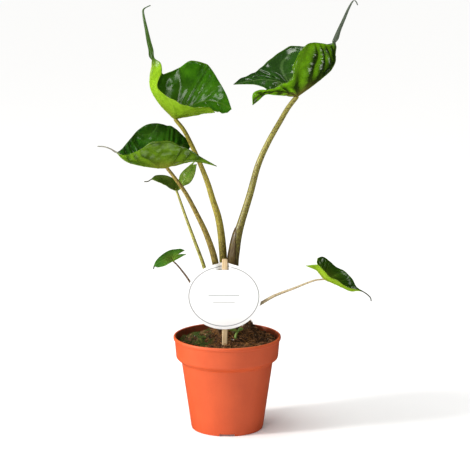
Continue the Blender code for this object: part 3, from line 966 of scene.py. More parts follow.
BLADES: dict[str, BladeShape] = {
    "leaf_1": BladeShape(
        tail=[
            (-84, 20, 472, 0.7), (-91, 18, 468, 1.0), (-91, 16, 461, 1.4),
            (-88, 12, 447, 2.0), (-85.5, 9, 435, 2.6), (-83, 7, 425, 3.0), (-81.5, 6, 416, 2.8),
        ],
        side=(1, -0.35, 0),
        front=[
            ((-81, 6, 407), (-72, 0, 411), (-73, 12, 408)),
            ((-83, 6, 397), (-71, -8, 401), (-71, 22, 397)),
            ((-83, 7, 384), (-75, -24, 387), (-63, 32, 398)),
            ((-78, 8, 373), (-65, -36, 380), (-53, 40, 402)),
            ((-70, 8, 362), (-54, -43, 374), (-41, 45, 409)),
            ((-57, 8, 349), (-41, -45, 369), (-28, 46, 407)),
        ],
        near=[
            ((-45, -2, 356), (-29, -42, 368), (-17, -2, 358)),
            ((-32, -8, 359), (-20, -32, 367), (-15, -6, 358)),
            ((-13, -14, 359), (-13, -14, 359), (-13, -14, 359)),
        ],
        far=[
            ((-41, 18, 361), (-20, 47, 403), (-12, 4, 358)),
            ((-24, 22, 367), (-11, 42, 390), (-7, 4, 357)),
            ((-8, 18, 365), (-1, 28, 374), (-1, 4, 356)),
            ((5, 6, 360), (5, 6, 360), (5, 6, 360)),
        ],
        sinus=(-21, 2, 358),
        sag=((-0.03, -0.09, -0.09), (-0.04, 0.10, -0.08)),
    ),
    "leaf_2": BladeShape(
        tail=[
            (143, 24, 472, 0.7), (141, 23, 476, 0.9), (138, 22, 477, 1.1),
            (133, 20, 469, 1.5), (128, 17, 458, 2.0), (122, 13, 445, 2.6), (118, 10, 435, 3.2),
        ],
        side=(-1, -0.35, 0),
        front=[
            ((118, 8, 428), (114, 2, 431), (113, 14, 431)),
            ((117, 6, 420), (102, -16, 434), (100, 26, 428)),
            ((117, 5, 412), (93, -28, 436), (87, 34, 426)),
            ((112, 4, 403), (84, -37, 434), (77, 40, 426)),
            ((103, 3, 395), (76, -44, 424), (69, 44, 425)),
            ((92, 4, 386), (71, -47, 413), (58, 46, 418)),
            ((77, 5, 375), (69, -46, 399), (46, 46, 409)),
        ],
        near=[
            ((66, -12, 381), (58, -50, 394), (58, -12, 377)),
            ((54, -25, 384), (47, -52, 388), (44, -25, 380)),
            ((42, -35, 384), (38, -52, 388), (39, -33, 379)),
            ((33, -43, 380), (28, -50, 384), (34, -40, 375)),
            ((27.5, -47, 371), (27.5, -47, 371), (27.5, -47, 371)),
        ],
        far=[
            ((62, 18, 387), (35, 46, 399), (49, 8, 379)),
            ((45, 26, 390), (26, 42, 394), (39, 18, 383)),
            ((30, 30, 389), (15, 38, 390), (29, 24, 385)),
            ((7, 34, 384), (7, 34, 384), (7, 34, 384)),
        ],
        sinus=(64, -2, 376),
        sag=((0.04, -0.09, -0.09), (0.04, 0.10, -0.08)),
        mirrored=True,
    ),
    "leaf_3": BladeShape(
        tail=[
            (-142, -2, 320, 0.7), (-134, -6, 320, 1.0), (-127, -9, 318, 1.3),
            (-121, -12, 315, 1.8),
        ],
        side=(0.2, -0.9, 0.4),
        front=[
            ((-116, -15, 311), (-112, -20, 313), (-114, -8, 319)),
            ((-108, -18, 306), (-99, -38, 319), (-106, 4, 328)),
            ((-97, -20, 303), (-89, -50, 326), (-98, 14, 336)),
            ((-85, -21, 301), (-80, -58, 333), (-88, 20, 341)),
            ((-75, -22, 300), (-70, -61, 334), (-79, 23, 342)),
            ((-66, -22, 300), (-57, -62, 333), (-69, 24, 340)),
        ],
        near=[
            ((-55, -30, 306), (-48, -58, 328), (-44, -24, 305)),
            ((-44, -34, 309), (-38, -53, 323), (-36, -28, 307)),
            ((-31, -37, 310), (-28, -46, 315), (-24, -33, 306)),
            ((-11, -34, 303), (-11, -34, 303), (-11, -34, 303)),
        ],
        far=[
            ((-59, -6, 314), (-60, 24, 338), (-50, -10, 308)),
            ((-52, 4, 319), (-54, 23, 333), (-45, 2, 311)),
            ((-45, 12, 321), (-46, 20, 326), (-42, 10, 315)),
            ((-41, 16, 316), (-41, 16, 316), (-41, 16, 316)),
        ],
        sinus=(-56, -20, 302),
        sag=((0, -0.10, -0.09), (0, 0.10, -0.08)),
    ),
    "leaf_4": BladeShape(
        tail=[(-92, 14, 278, 0.7), (-88, 16, 278, 1.0), (-84, 18, 280, 1.4)],
        side=(0.2, -1, -0.1),
        front=[
            ((-80, 20, 280), (-79, 12, 279), (-80, 26, 283)),
            ((-73, 22, 278), (-71, 8, 276), (-72, 34, 282)),
            ((-65, 24, 273), (-63, 8, 272), (-63, 38, 279)),
            ((-57, 25, 267), (-54, 9, 269), (-55, 40, 275)),
        ],
        near=[
            ((-50, 22, 275), (-48, 10, 274), (-51, 26, 279)),
            ((-44, 22, 283), (-41, 12, 277), (-48, 26, 287)),
            ((-39, 23, 290), (-36, 16, 286), (-41, 26, 294)),
            ((-34, 24, 296), (-34, 24, 296), (-34, 24, 296)),
        ],
        far=[
            ((-52, 33, 277), (-53, 42, 281), (-49, 29, 281)),
            ((-46, 33, 285), (-47, 40, 288), (-45, 30, 287)),
            ((-36, 34, 298), (-36, 34, 298), (-36, 34, 298)),
        ],
        sinus=(-52, 26, 273),
        sag=((-0.04, 0, -0.08), (-0.04, 0, -0.08)),
    ),
    "leaf_5": BladeShape(
        tail=[(-81, -23, 187, 0.7), (-80, -22.4, 190, 1.1)],
        side=(0.5, -0.8, -0.3),
        front=[
            ((-78, -22, 192), (-76, -25, 189), (-78, -16, 195)),
            ((-73, -20, 195), (-69, -27, 191), (-72, -10, 200)),
            ((-67, -19, 197), (-64, -29, 194), (-66, -6, 203)),
            ((-60, -18, 196), (-58, -28, 197), (-59, -5, 205)),
        ],
        near=[
            ((-54, -22, 200), (-51, -28, 201), (-52, -21, 203)),
            ((-45, -25, 204), (-45, -25, 204), (-45, -25, 204)),
        ],
        far=[
            ((-54, -13, 203), (-52, -6, 206), (-52, -15, 203)),
            ((-47, -9, 205), (-47, -9, 205), (-47, -9, 205)),
        ],
        sinus=(-57, -18, 200),
        sag=((0, 0, -0.08), (0, 0.04, -0.08)),
    ),
    "leaf_6": BladeShape(
        tail=[
            (158, -38, 154, 0.7), (157, -38, 158, 0.9), (153, -38, 162, 1.2),
            (148, -37, 165, 1.6),
        ],
        side=(-0.3, -0.9, 0.1),
        front=[
            ((142, -37, 166), (140, -40, 168), (142, -33, 169)),
            ((135, -36, 166), (133, -46, 171), (138, -26, 176)),
            ((126, -35, 170), (124, -52, 177), (132, -18, 181)),
            ((117, -34, 174), (115, -55, 183), (125, -13, 185)),
            ((107, -32, 178), (108, -55, 188), (117, -10, 189)),
        ],
        near=[
            ((102, -36, 185), (104, -53, 193), (99, -34, 187)),
            ((97, -41, 191), (98, -49, 197), (95, -39, 192)),
            ((86, -44, 195), (86, -44, 195), (86, -44, 195)),
        ],
        far=[
            ((105, -22, 185), (111, -9, 195), (101, -24, 188)),
            ((102, -16, 191), (105, -10, 198), (99, -17, 193)),
            ((100, -13, 197), (100, -13, 197), (100, -13, 197)),
        ],
        sinus=(102, -30, 182),
        sag=((-0.03, -0.06, -0.08), (0.03, 0.08, -0.06)),
        mirrored=True,
    ),
}

CROWN_CENTRE = (0, 10)
CROWN_RADII = (16, 14.5)
CROWN_PROFILE = [(0, 92), (0.62, 93), (0.9, 97), (1, 104), (0.94, 108.5), (0.76, 112), (0, 113.6)]
SHOOT: list[Row] = [(9, -7.5, 94, 2.2), (9.5, -7.5, 106, 2.6), (11.5, -8, 112, 2.5), (15.5, -9, 117, 0.8)]
STICK = (-2.5, -20)
STICK_HALF = (3.1, 1.5)
STICK_SPAN = (62, 197.5)
CARD_CENTRE = (-3.5, 155.6)
CARD_RADII = (41.2, 37.2)

# Mounds of the soil: height, place in x and y, and spread
MOUNDS = ((12.5, 1, 10, 578), (12.5, 23, 42, 100), (3.0, -32, -4, 160))
BANKS = ((3.0, -24, 22, 320), (2.6, 38, 14, 420), (3.4, -44, 4, 420))
# Where fibres lie thickest, in the same form
FIBROUS = ((1.0, 20, -22, 520), (1.2, -12, -14, 220))
# The soil's level at the middle, its slope to the right and its radius
SOIL_LEVEL, SOIL_SLOPE, SOIL_RADIUS = 97.6, 0.035, 56


# Pieces


def heaped(mounds: Sequence[Row], x: float | np.ndarray, y: float | np.ndarray,
           base: float = 0.0) -> float | np.ndarray:
    """Add up rounded mounds.

    Args:
        mounds: Height, x, y and spread of each.
        x: Where to measure, to the right in millimetres, one number or an array.
        y: The same, to the back.
        base: Height without a mound.

    Returns:
        The height there.
    """
    return sum((h * np.exp(-((x - a) ** 2 + (y - b) ** 2) / spread) for h, a, b, spread in mounds), base)


def soil_height(x: float, y: float) -> float:
    """Height of the soil's top at a spot: mounded, low at the left, a clod at the back.

    Args:
        x: To the right, in millimetres.
        y: To the back.

    Returns:
        The height, without the finest crumbs.
    """
    reach = (x * x + y * y) ** 0.5 / SOIL_RADIUS
    z = heaped(MOUNDS, x, y, SOIL_LEVEL + SOIL_SLOPE * x * reach)
    return z + 0.9 * sin(0.31 * x + 1.0) * cos(0.27 * y) + 0.6 * sin(0.62 * y + 0.5 * x)


def rounded(profile: Sequence[tuple[float, float]], reach: float, steps: int) -> list[tuple[float, float]]:
    """Round the corners of a profile.

    Args:
        profile: Corners in order; the first and last stay sharp.
        reach: How far along each side a rounding may start, in millimetres.
        steps: Points for each rounding, less one.

    Returns:
        The profile with every inner corner replaced by a small curve.
    """
    p = [np.array(q, float) for q in profile]
    out = [tuple(p[0])]
    for a, b, c in zip(p, p[1:], p[2:]):
        before, after = np.linalg.norm(a - b), np.linalg.norm(c - b)
        cut = min(reach, 0.42 * before, 0.42 * after)
        start, end = b + (a - b) * cut / before, b + (c - b) * cut / after
        for k in range(steps + 1):
            t = k / steps
            out.append(tuple(start * (1 - t) ** 2 + b * 2 * t * (1 - t) + end * t * t))
    return out + [tuple(p[-1])]


@dataclass(frozen=True)
class Lamp:
    """A square soft lamp: its name, place and size in metres, power in watts, aim and colour."""

    name: str
    where: Row
    size: float
    watts: float
    aim: Row = (0.0, 0.0, 0.4)
    colour: Rgb = (1.0, 0.99, 0.97)

    def build(self, suffix: str, reach: Reach, lit: bpy.types.Collection) -> None:
        """Add the lamp.

        Args:
            suffix: What follows its name.
            reach: Which part of its light is used.
            lit: The pieces that it lights.
        """
        data = bpy.data.lights.new(self.name + suffix, "AREA")
        data.shape, data.size, data.energy, data.color = "SQUARE", self.size, self.watts, self.colour
        lamp = bpy.data.objects.new(self.name + suffix, data)
        lamp.location = self.where
        lamp.rotation_euler = (Vector(self.where) - Vector(self.aim)).to_track_quat("Z", "Y").to_euler()
        lamp.visible_diffuse = reach is not Reach.GLINT
        lamp.visible_glossy = reach is not Reach.LEAVES
        lamp.light_linking.receiver_collection = lit
        bpy.context.scene.collection.objects.link(lamp)


GLOSSED = "glossed_leaves"
LAMPS = (
    Lamp("key", (-1.62, -0.58, 0.75), 0.3, 33.0, (0.0, 0.0, 0.2)),
    Lamp("front", (-0.75, -1.6, 0.3), 0.22, 6.0, (0.0, 0.0, 0.3)),
)
GLINTS = (
    Lamp("key_glint", (-1.62, -0.58, 0.75), 0.3, 3.5), Lamp("front_glint", (-0.75, -1.6, 0.3), 0.22, 1.5),
    Lamp("strip", (-0.3, -1.35, 1.1), 0.12, 1.0), Lamp("upper_left", (-1.25, -0.75, 1.0), 0.45, 8),
    Lamp("upper_right", (0.85, -0.75, 1.45), 0.40, 3.6), Lamp("top", (0.0, -0.1, 2.0), 0.40, 3.2),
    Lamp("low_right", (1.3, -1.0, 0.12), 0.4, 6), Lamp("low_left", (-1.5, -0.3, 0.1), 0.35, 3.5),
    Lamp("under_right", (1.06, -0.48, -0.8), 0.55, 10), Lamp("under_left", (-0.45, -0.25, -1.1), 0.6, 2.5),
)


@dataclass
class Studio:
    """Plain white floor, soft light from the left and the camera of the photograph."""

    paper: WhiteFloor = WhiteFloor()
    floor_reach: float = 14000
    sky: float = 0.25
    sun_power: float = 2.25
    sun_width: float = 55
    sun_from: Row = (-0.28, -0.10, 1.0)
    sun_colour: Rgb = (1.0, 0.995, 0.98)
    eye: Row = (0.00875, -2.0, 0.616)
    down: float = 11.19
    lens: float = 140.9
    sensor: float = 36

    def build(self) -> None:
        """Set the floor, world, lamps and camera."""
        bpy.context.scene.view_settings.view_transform = "Standard"
        self.floor()
        self.daylight()
        self.lamps()
        self.camera()

    def floor(self) -> None:
        """Lay a wide floor that neither shines back nor shades."""
        corners = [(sx * self.floor_reach, sy * self.floor_reach, 0)
                   for sx, sy in ((-1, -1), (1, -1), (1, 1), (-1, 1))]
        floor = mesh_piece("floor", np.array(corners), [(0, 1, 2, 3)], [self.paper.build()])
        floor.visible_glossy = False
        floor.visible_shadow = False

    def daylight(self) -> None:
        """Set an even white world and a wide soft sun."""
        world = bpy.data.worlds.new("studio")
        world.use_nodes = True
        sky = world.node_tree.nodes["Background"].inputs
        sky["Color"].default_value = (1, 1, 1, 1)
        sky["Strength"].default_value = self.sky
        world.cycles_visibility.glossy = False
        bpy.context.scene.world = world
        sun = bpy.data.lights.new("window", "SUN")
        sun.energy, sun.angle, sun.color = self.sun_power, radians(self.sun_width), self.sun_colour
        window = bpy.data.objects.new("window", sun)
        window.rotation_euler = Vector(self.sun_from).to_track_quat("Z", "Y").to_euler()
        window.visible_glossy = False
        bpy.context.scene.collection.objects.link(window)

    def lamps(self) -> None:
        """Set the lamps, of which the leaves take their gloss from the glints alone."""
        glossed = bpy.data.collections.new(GLOSSED)
        rest = bpy.data.collections.new("all_but_leaves")
        rest.children.link(glossed)
        rest.collection_children[0].light_linking.link_state = "EXCLUDE"
        for lamp in LAMPS:
            lamp.build("", Reach.REST, rest)
            lamp.build("_leaves", Reach.LEAVES, glossed)
        for lamp in GLINTS:
            lamp.build("", Reach.GLINT, glossed)

    def camera(self) -> None:
        """Set the camera, which looks down at the pot from in front."""
        data = bpy.data.cameras.new("camera")
        data.lens, data.sensor_width = self.lens, self.sensor
        camera = bpy.data.objects.new("camera", data)
        camera.location = self.eye
        camera.rotation_euler = (radians(90 - self.down), 0, 0)
        bpy.context.scene.collection.objects.link(camera)
        bpy.context.scene.camera = camera


@dataclass
class Pot:
    """Turned pot with drain holes in the channel of its base and notches in its foot."""

    plastic: PotPlastic = PotPlastic()
    segments: int = 168
    holes: int = 6
    hole_at: float = 23
    hole_radius: float = 3.2
    hole_span: tuple[float, float] = (-1, 6.6)
    notches: int = 4
    notch_middle: tuple[float, float] = (-37, 0.3)
    notch_half: Rgb = (8.5, 6.8, 2.3)
    wall_heights: Row = (4.6, 77, 82, 106)
    wall_radii: Row = (38, 50.3, 55.6, 58.8)

    def cutters(self) -> list[bpy.types.Object]:
        """Add the closed shapes to be cut from the pot.

        Returns:
            The shapes, drain holes first.
        """
        made = []
        for k in range(self.holes):
            a = 2 * pi * (k + 0.5) / self.holes
            x, y = self.hole_at * cos(a), self.hole_at * sin(a)
            points, faces, _ = tube(np.array([(x, y, z, self.hole_radius) for z in self.hole_span]), 36)
            made.append(mesh_piece(f"drain_{k}", points, faces, []))
        (wide, deep, tall), (y, z) = self.notch_half, self.notch_middle
        corners = np.array([(wide * sx, y + deep * sy, z + tall * sz)
                            for sz in (-1, 1) for sy in (-1, 1) for sx in (-1, 1)])
        sides = [(0, 2, 3, 1), (4, 5, 7, 6), (0, 1, 5, 4), (2, 6, 7, 3), (0, 4, 6, 2), (1, 3, 7, 5)]
        for k in range(self.notches):
            turn = np.array(Matrix.Rotation(2 * pi * k / self.notches, 3, "Z"))
            made.append(mesh_piece(f"notch_{k}", corners @ turn.T, sides, []))
        return made

    def build(self) -> None:
        """Turn the pot, cut it and mark its inner wall."""
        points, faces = lathe(rounded(POT_PROFILE, 0.9, 4), self.segments)
        pot = mesh_piece("nursery_pot", points, faces, [self.plastic.build()])
        cutters = self.cutters()
        for cutter in cutters:
            cut = pot.modifiers.new(cutter.name, "BOOLEAN")
            cut.operation, cut.solver, cut.object = "DIFFERENCE", "MANIFOLD", cutter
        flatten(pot)
        for cutter in cutters:
            bpy.data.objects.remove(cutter)
        pot.data.set_sharp_from_angle(angle=radians(38))
        inside = []
        for vertex in pot.data.vertices:
            x, y, z = vertex.co / MM
            wall = float(np.interp(z, self.wall_heights, self.wall_radii))
            inside.append(float(4.5 < z < 105.6 and (x * x + y * y) ** 0.5 < wall))
        add_attribute(pot, "inside", np.array(inside))
        declare(pot, "pot_plastic", "pot")


@dataclass
class Scatter:
    """Bits strewn over the soil: what they are, how many, how large and where."""

    name: str
    litter: Litter
    density: float
    size: tuple[float, float]
    mask: str
    seed: int
    lift: float = 0.0

    def shape(self, nodes: Nodes) -> Socket:
        """Choose the shape of one bit, one unit long before it is scaled.

        Args:
            nodes: The tree under construction.

        Returns:
            Its mesh.
        """
        if self.litter in (Litter.FIBRE, Litter.COIR):
            return self.strand(nodes)
        if self.litter is Litter.MOSS:
            return self.tuft(nodes)
        return self.crumb(nodes)

    def strand(self, nodes: Nodes) -> Socket:
        """Make a bent fibre.

        Args:
            nodes: The tree under construction.

        Returns:
            Its mesh.
        """
        curve = nodes.first("GeometryNodeCurveQuadraticBezier", {
            "Resolution": 6, "Start": (-0.5, 0, 0), "Middle": (0, 0.28, 0.22), "End": (0.5, 0, 0),
        })
        ring = nodes.first("GeometryNodeCurvePrimitiveCircle", {"Resolution": 5, "Radius": 0.028})
        inputs = {"Curve": curve, "Profile Curve": ring, "Fill Caps": True}
        return nodes.first("GeometryNodeCurveToMesh", inputs)

    def tuft(self, nodes: Nodes) -> Socket:
        """Make a ball of small spikes.

        Args:
            nodes: The tree under construction.

        Returns:
            Its mesh.
        """
        ball = nodes.first("GeometryNodeMeshUVSphere", {"Segments": 5, "Rings": 3, "Radius": 0.5})
        spike = nodes.first("GeometryNodeMeshCone", {"Vertices": 4, "Radius Bottom": 0.09, "Depth": 0.55})
        outward = nodes.first("FunctionNodeAlignRotationToVector", {
            "Vector": nodes.first("GeometryNodeInputPosition", {}),
        })
        inputs = {"Points": ball, "Instance": spike, "Rotation": outward}
        return nodes.first("GeometryNodeRealizeInstances", {
            0: nodes.first("GeometryNodeInstanceOnPoints", inputs),
        })

    def crumb(self, nodes: Nodes) -> Socket:
        """Make a lumpy ball.

        Args:
            nodes: The tree under construction.

        Returns:
            Its mesh.
        """
        ball = nodes.first("GeometryNodeMeshIcoSphere", {"Radius": 0.5, "Subdivisions": 2})
        warp = nodes.node("ShaderNodeTexNoise", {"Scale": 2.3}).outputs["Color"]
        centred = nodes.first("ShaderNodeVectorMath", {0: warp, 1: (0.5, 0.5, 0.5)}, operation="SUBTRACT")
        offset = nodes.first("ShaderNodeVectorMath", {0: centred, 1: (0.9, 0.9, 0.9)}, operation="MULTIPLY")
        return nodes.first("GeometryNodeSetPosition", {"Geometry": ball, "Offset": offset})

    def fill(self, nodes: Nodes) -> None:
        """Fill the node tree that strews the bits, lifts them and paints them.

        Args:
            nodes: The tree, with its sockets.
        """
        given = nodes.node("NodeGroupInput", {}).outputs
        mask = nodes.first("GeometryNodeInputNamedAttribute", {"Name": self.mask})
        spots = nodes.first("GeometryNodeDistributePointsOnFaces", {
            "Mesh": given["Geometry"], "Seed": given["Seed"],
            "Density": nodes.maths("MULTIPLY", mask, given["Bits per square metre"]),
        })
        size = nodes.node("FunctionNodeRandomValue", {2: given["Smallest"], 3: given["Largest"]},
                          data_type="FLOAT").outputs[1]
        uneven = nodes.first("FunctionNodeRandomValue", {0: (0.6, 0.6, 0.6), 1: (1.1, 1.1, 1.1)},
                             data_type="FLOAT_VECTOR")
        tilt = self.litter.value[3]
        turn = nodes.first("FunctionNodeRandomValue", {0: (-tilt, -tilt, 0), 1: (tilt, tilt, 2 * pi)},
                           data_type="FLOAT_VECTOR")
        bits = nodes.first("GeometryNodeInstanceOnPoints", {
            "Points": spots, "Instance": self.shape(nodes), "Rotation": turn,
            "Scale": nodes.first("ShaderNodeVectorMath", {0: uneven, "Scale": size}, operation="SCALE"),
        })
        tone = nodes.node("FunctionNodeRandomValue", {}, data_type="FLOAT").outputs[1]
        toned = nodes.first("GeometryNodeStoreNamedAttribute", {
            "Geometry": bits, "Name": "tone", "Value": tone,
        }, domain="INSTANCE")
        lifted = nodes.first("GeometryNodeTranslateInstances", {
            "Instances": toned, "Translation": (0, 0, self.lift * MM), "Local Space": False,
        })
        solid = nodes.first("GeometryNodeRealizeInstances", {0: lifted})
        painted = nodes.first("GeometryNodeSetMaterial", {"Geometry": solid, "Material": given["Material"]})
        nodes.node("NodeGroupOutput", {0: painted})

    def build(self, ground: bpy.types.Object, slot: str) -> None:
        """Strew the bits over a copy of the ground and bake them.

        Args:
            ground: The surface with the masks.
            slot: Name of the finish.
        """
        tree = bpy.data.node_groups.new(self.name, "GeometryNodeTree")
        values = {
            "Bits per square metre": ("NodeSocketFloat", self.density * 1e4),
            "Seed": ("NodeSocketInt", self.seed),
            "Smallest": ("NodeSocketFloat", self.size[0] * MM),
            "Largest": ("NodeSocketFloat", self.size[1] * MM),
            "Material": ("NodeSocketMaterial", self.litter.build()),
        }
        face = tree.interface
        face.new_socket("Geometry", in_out="INPUT", socket_type="NodeSocketGeometry")
        keys = {name: face.new_socket(name, in_out="INPUT", socket_type=kind).identifier
                for name, (kind, _) in values.items()}
        face.new_socket("Geometry", in_out="OUTPUT", socket_type="NodeSocketGeometry")
        self.fill(Nodes(tree))
        piece = bpy.data.objects.new(self.name, ground.data.copy())
        bpy.context.scene.collection.objects.link(piece)
        modifier = piece.modifiers.new(self.name, "NODES")
        modifier.node_group = tree
        for name, (_, value) in values.items():
            modifier[keys[name]] = value
        declare(flatten(piece), slot)


@dataclass
class Soil:
    """Potting soil with crumbs, fibres, grit and a patch of moss."""

    skin: SoilSurface = SoilSurface()
    segments: int = 200
    rings: int = 84
    radius: float = 55.7
    edge_from: float = 0.93
    edge_width: float = 0.07
    edge_drop: float = 2.5
    top_from: float = 94.5
    strewn_radius: float = 52.5
    fibre_radius: float = 49
    litter: tuple[Scatter, ...] = (
        Scatter("soil_crumbs", Litter.PEAT, 34, (0.8, 2.6), "open", 3, 0.1),
        Scatter("soil_clods", Litter.PEAT, 2.4, (3.0, 5.6), "open", 5, -0.4),
        Scatter("soil_coir", Litter.COIR, 26, (2.5, 8.0), "fibrous", 7, 0.5),
        Scatter("soil_roots", Litter.FIBRE, 3.0, (4.5, 10.0), "open", 23, 0.6),
        Scatter("soil_grit", Litter.GRIT, 0.5, (0.8, 1.9), "open", 11, 0.3),
        Scatter("soil_moss", Litter.MOSS, 40, (1.6, 3.6), "moss", 13, 0.4),
    )

    def relief(self, x: float, y: float) -> float:
        """Height of the fine surface at a spot.

        Args:
            x: To the right, in millimetres.
            y: To the back.

        Returns:
            The height with its banks and crumbs.
        """
        coarse = noise.noise(Vector((x, y, 3)) * 0.22)
        middle = noise.noise(Vector((x, y, 9)) * 0.6)
        fine = noise.noise(Vector((x, y, 17)) * 1.5)
        return soil_height(x, y) + heaped(BANKS, x, y) + 1.1 * coarse + 0.75 * middle + 0.35 * fine

    def build(self) -> None:
        """Build the surface, its masks and what lies on it."""
        points: list[Row] = [(0, 0, self.relief(0, 0))]
        for i in range(1, self.rings + 1):
            reach = i / self.rings
            drop = self.edge_drop * max(0, reach - self.edge_from) / self.edge_width
            points += [(x, y, self.relief(x, y) - drop)
                       for x, y, _ in circle(self.radius * reach, 0, self.segments)]
        for radius, z in SOIL_SIDE:
            points += circle(radius, z, self.segments)
        points.append((0, 0, SOIL_SIDE[-1][1]))
        faces = closed_rings(self.rings + len(SOIL_SIDE), self.segments, down=True)
        soil = mesh_piece("potting_soil", np.array(points), faces, [self.skin.build()])
        for name, values in self.masks(np.array(points)).items():
            add_attribute(soil, name, values)
        declare(soil, "potting_soil", "soil")
        for scatter in self.litter:
            scatter.build(soil, "potting_soil")

    def masks(self, points: np.ndarray) -> dict[str, np.ndarray]:
        """Where the top is bare, fibrous and mossy.

        Args:
            points: The points of the soil in millimetres.

        Returns:
            A number from 0 to 1 at each point, for each mask by its name.
        """
        x, y, z = points.T
        reach = np.hypot(x, y)
        stem = np.hypot((x - CROWN_CENTRE[0]) / CROWN_RADII[0], (y - CROWN_CENTRE[1]) / CROWN_RADII[1])
        clear = (z > self.top_from) & (reach < self.strewn_radius) & (stem > 0.95)
        spotty = np.array([0.5 + noise.noise(Vector((a, b, 5)) * 0.16) for a, b in zip(x, y)])
        left = np.clip((-x - 14) / 14, 0, 1) * np.clip((38 - y) / 20, 0, 1)
        moss = np.clip(left * 1.6 * (spotty > 0.40), 0, 1)
        fibrous = np.clip(heaped(FIBROUS, x, y) + 0.22, 0, 1) * clear
        return {"open": clear.astype(float), "moss": moss * clear,
                "fibrous": fibrous * (reach < self.fibre_radius) * (1 - 0.75 * moss)}


@dataclass
class Crown:
    """Short stem at soil level, wrapped in dry papery sheaths."""

    bark: Bark = Bark()
    sheaths: int = 9
    sheath_foot: float = 102.5
    sheath_steps: int = 14
    sheath_columns: int = 6
    sheath_depth: float = 0.35

    def build(self) -> None:
        """Build the stem base and its sheaths."""
        points, faces = lathe(spline(CROWN_PROFILE, 6), 96)
        for axis in (0, 1):
            points[:, axis] = points[:, axis] * CROWN_RADII[axis] + CROWN_CENTRE[axis]
        for point in points:
            x, y, z = point
            swell = noise.noise(Vector((x, y, z * 0.25)) * 0.5)
            point[:2] += (point[:2] - CROWN_CENTRE) * 0.035 * (swell - 0.6)
        bark = self.bark.build()
        stem = mesh_piece("stem_base", points, faces, [bark])
        add_attribute(stem, "high", (points[:, 2] > 100).astype(float))
        declare(stem, "crown_bark", "crown")
        Scatter("stem_fibres", Litter.COIR, 90, (3.0, 8.0), "high", 17, 0.1).build(stem, "crown_bark")
        Scatter("stem_crumbs", Litter.PEAT, 26, (0.8, 2.4), "high", 19, 0.0).build(stem, "crown_bark")
        for number in range(self.sheaths):
            self.sheath(number, bark)

    def sheath(self, number: int, bark: bpy.types.Material) -> None:
        """Add one torn sheath that wraps part of the stem base.

        Args:
            number: Its place round the stem.
            bark: Its material.
        """
        start, turn = 2.4 * number + 0.5, 0.9 + 0.25 * (number % 3)
        height = 4.5 + 1.7 * (number % 4)
        points = []
        for i in range(self.sheath_steps + 1):
            t = i / self.sheath_steps
            a = start + turn * t
            torn = height * (sin(pi * t) ** 0.7) * (0.8 + 0.35 * noise.noise(Vector((number, 9 * t, 0))))
            for j in range(self.sheath_columns):
                up = j / (self.sheath_columns - 1)
                reach = 0.99 - 0.14 * up * up + 0.012 * noise.noise(Vector((number, 4 * t, 3 * up)))
                x, y = (c + r * reach * turned for c, r, turned
                        in zip(CROWN_CENTRE, CROWN_RADII, (cos(a), sin(a))))
                points.append((x, y, self.sheath_foot + torn * up))
        faces = grid_faces(self.sheath_steps + 1, self.sheath_columns)
        piece = mesh_piece(f"dry_sheath_{number + 1}", np.array(points), faces, [bark])
        declare(thicken(piece, self.sheath_depth), "crown_bark")


# Sheaths on stalks: height of the point, its direction and half of the angle wrapped, in degrees
SHEATHS = {"petiole_2": (231.0, 205.0, 112.0), "petiole_1": (176.0, -20.0, 100.0),
           "petiole_3": (160.0, 150.0, 90.0)}
SHEATH_PALE: Rgb = (0.17, 0.12, 0.025)
SHEATH_GREEN: Rgb = (0.14, 0.10, 0.018)
# The last rows of a stalk: how far past its end, and which share of its radius is left
STALK_TIP = ((0.9, 0.97), (1.7, 0.88), (2.3, 0.68), (2.7, 0.35))


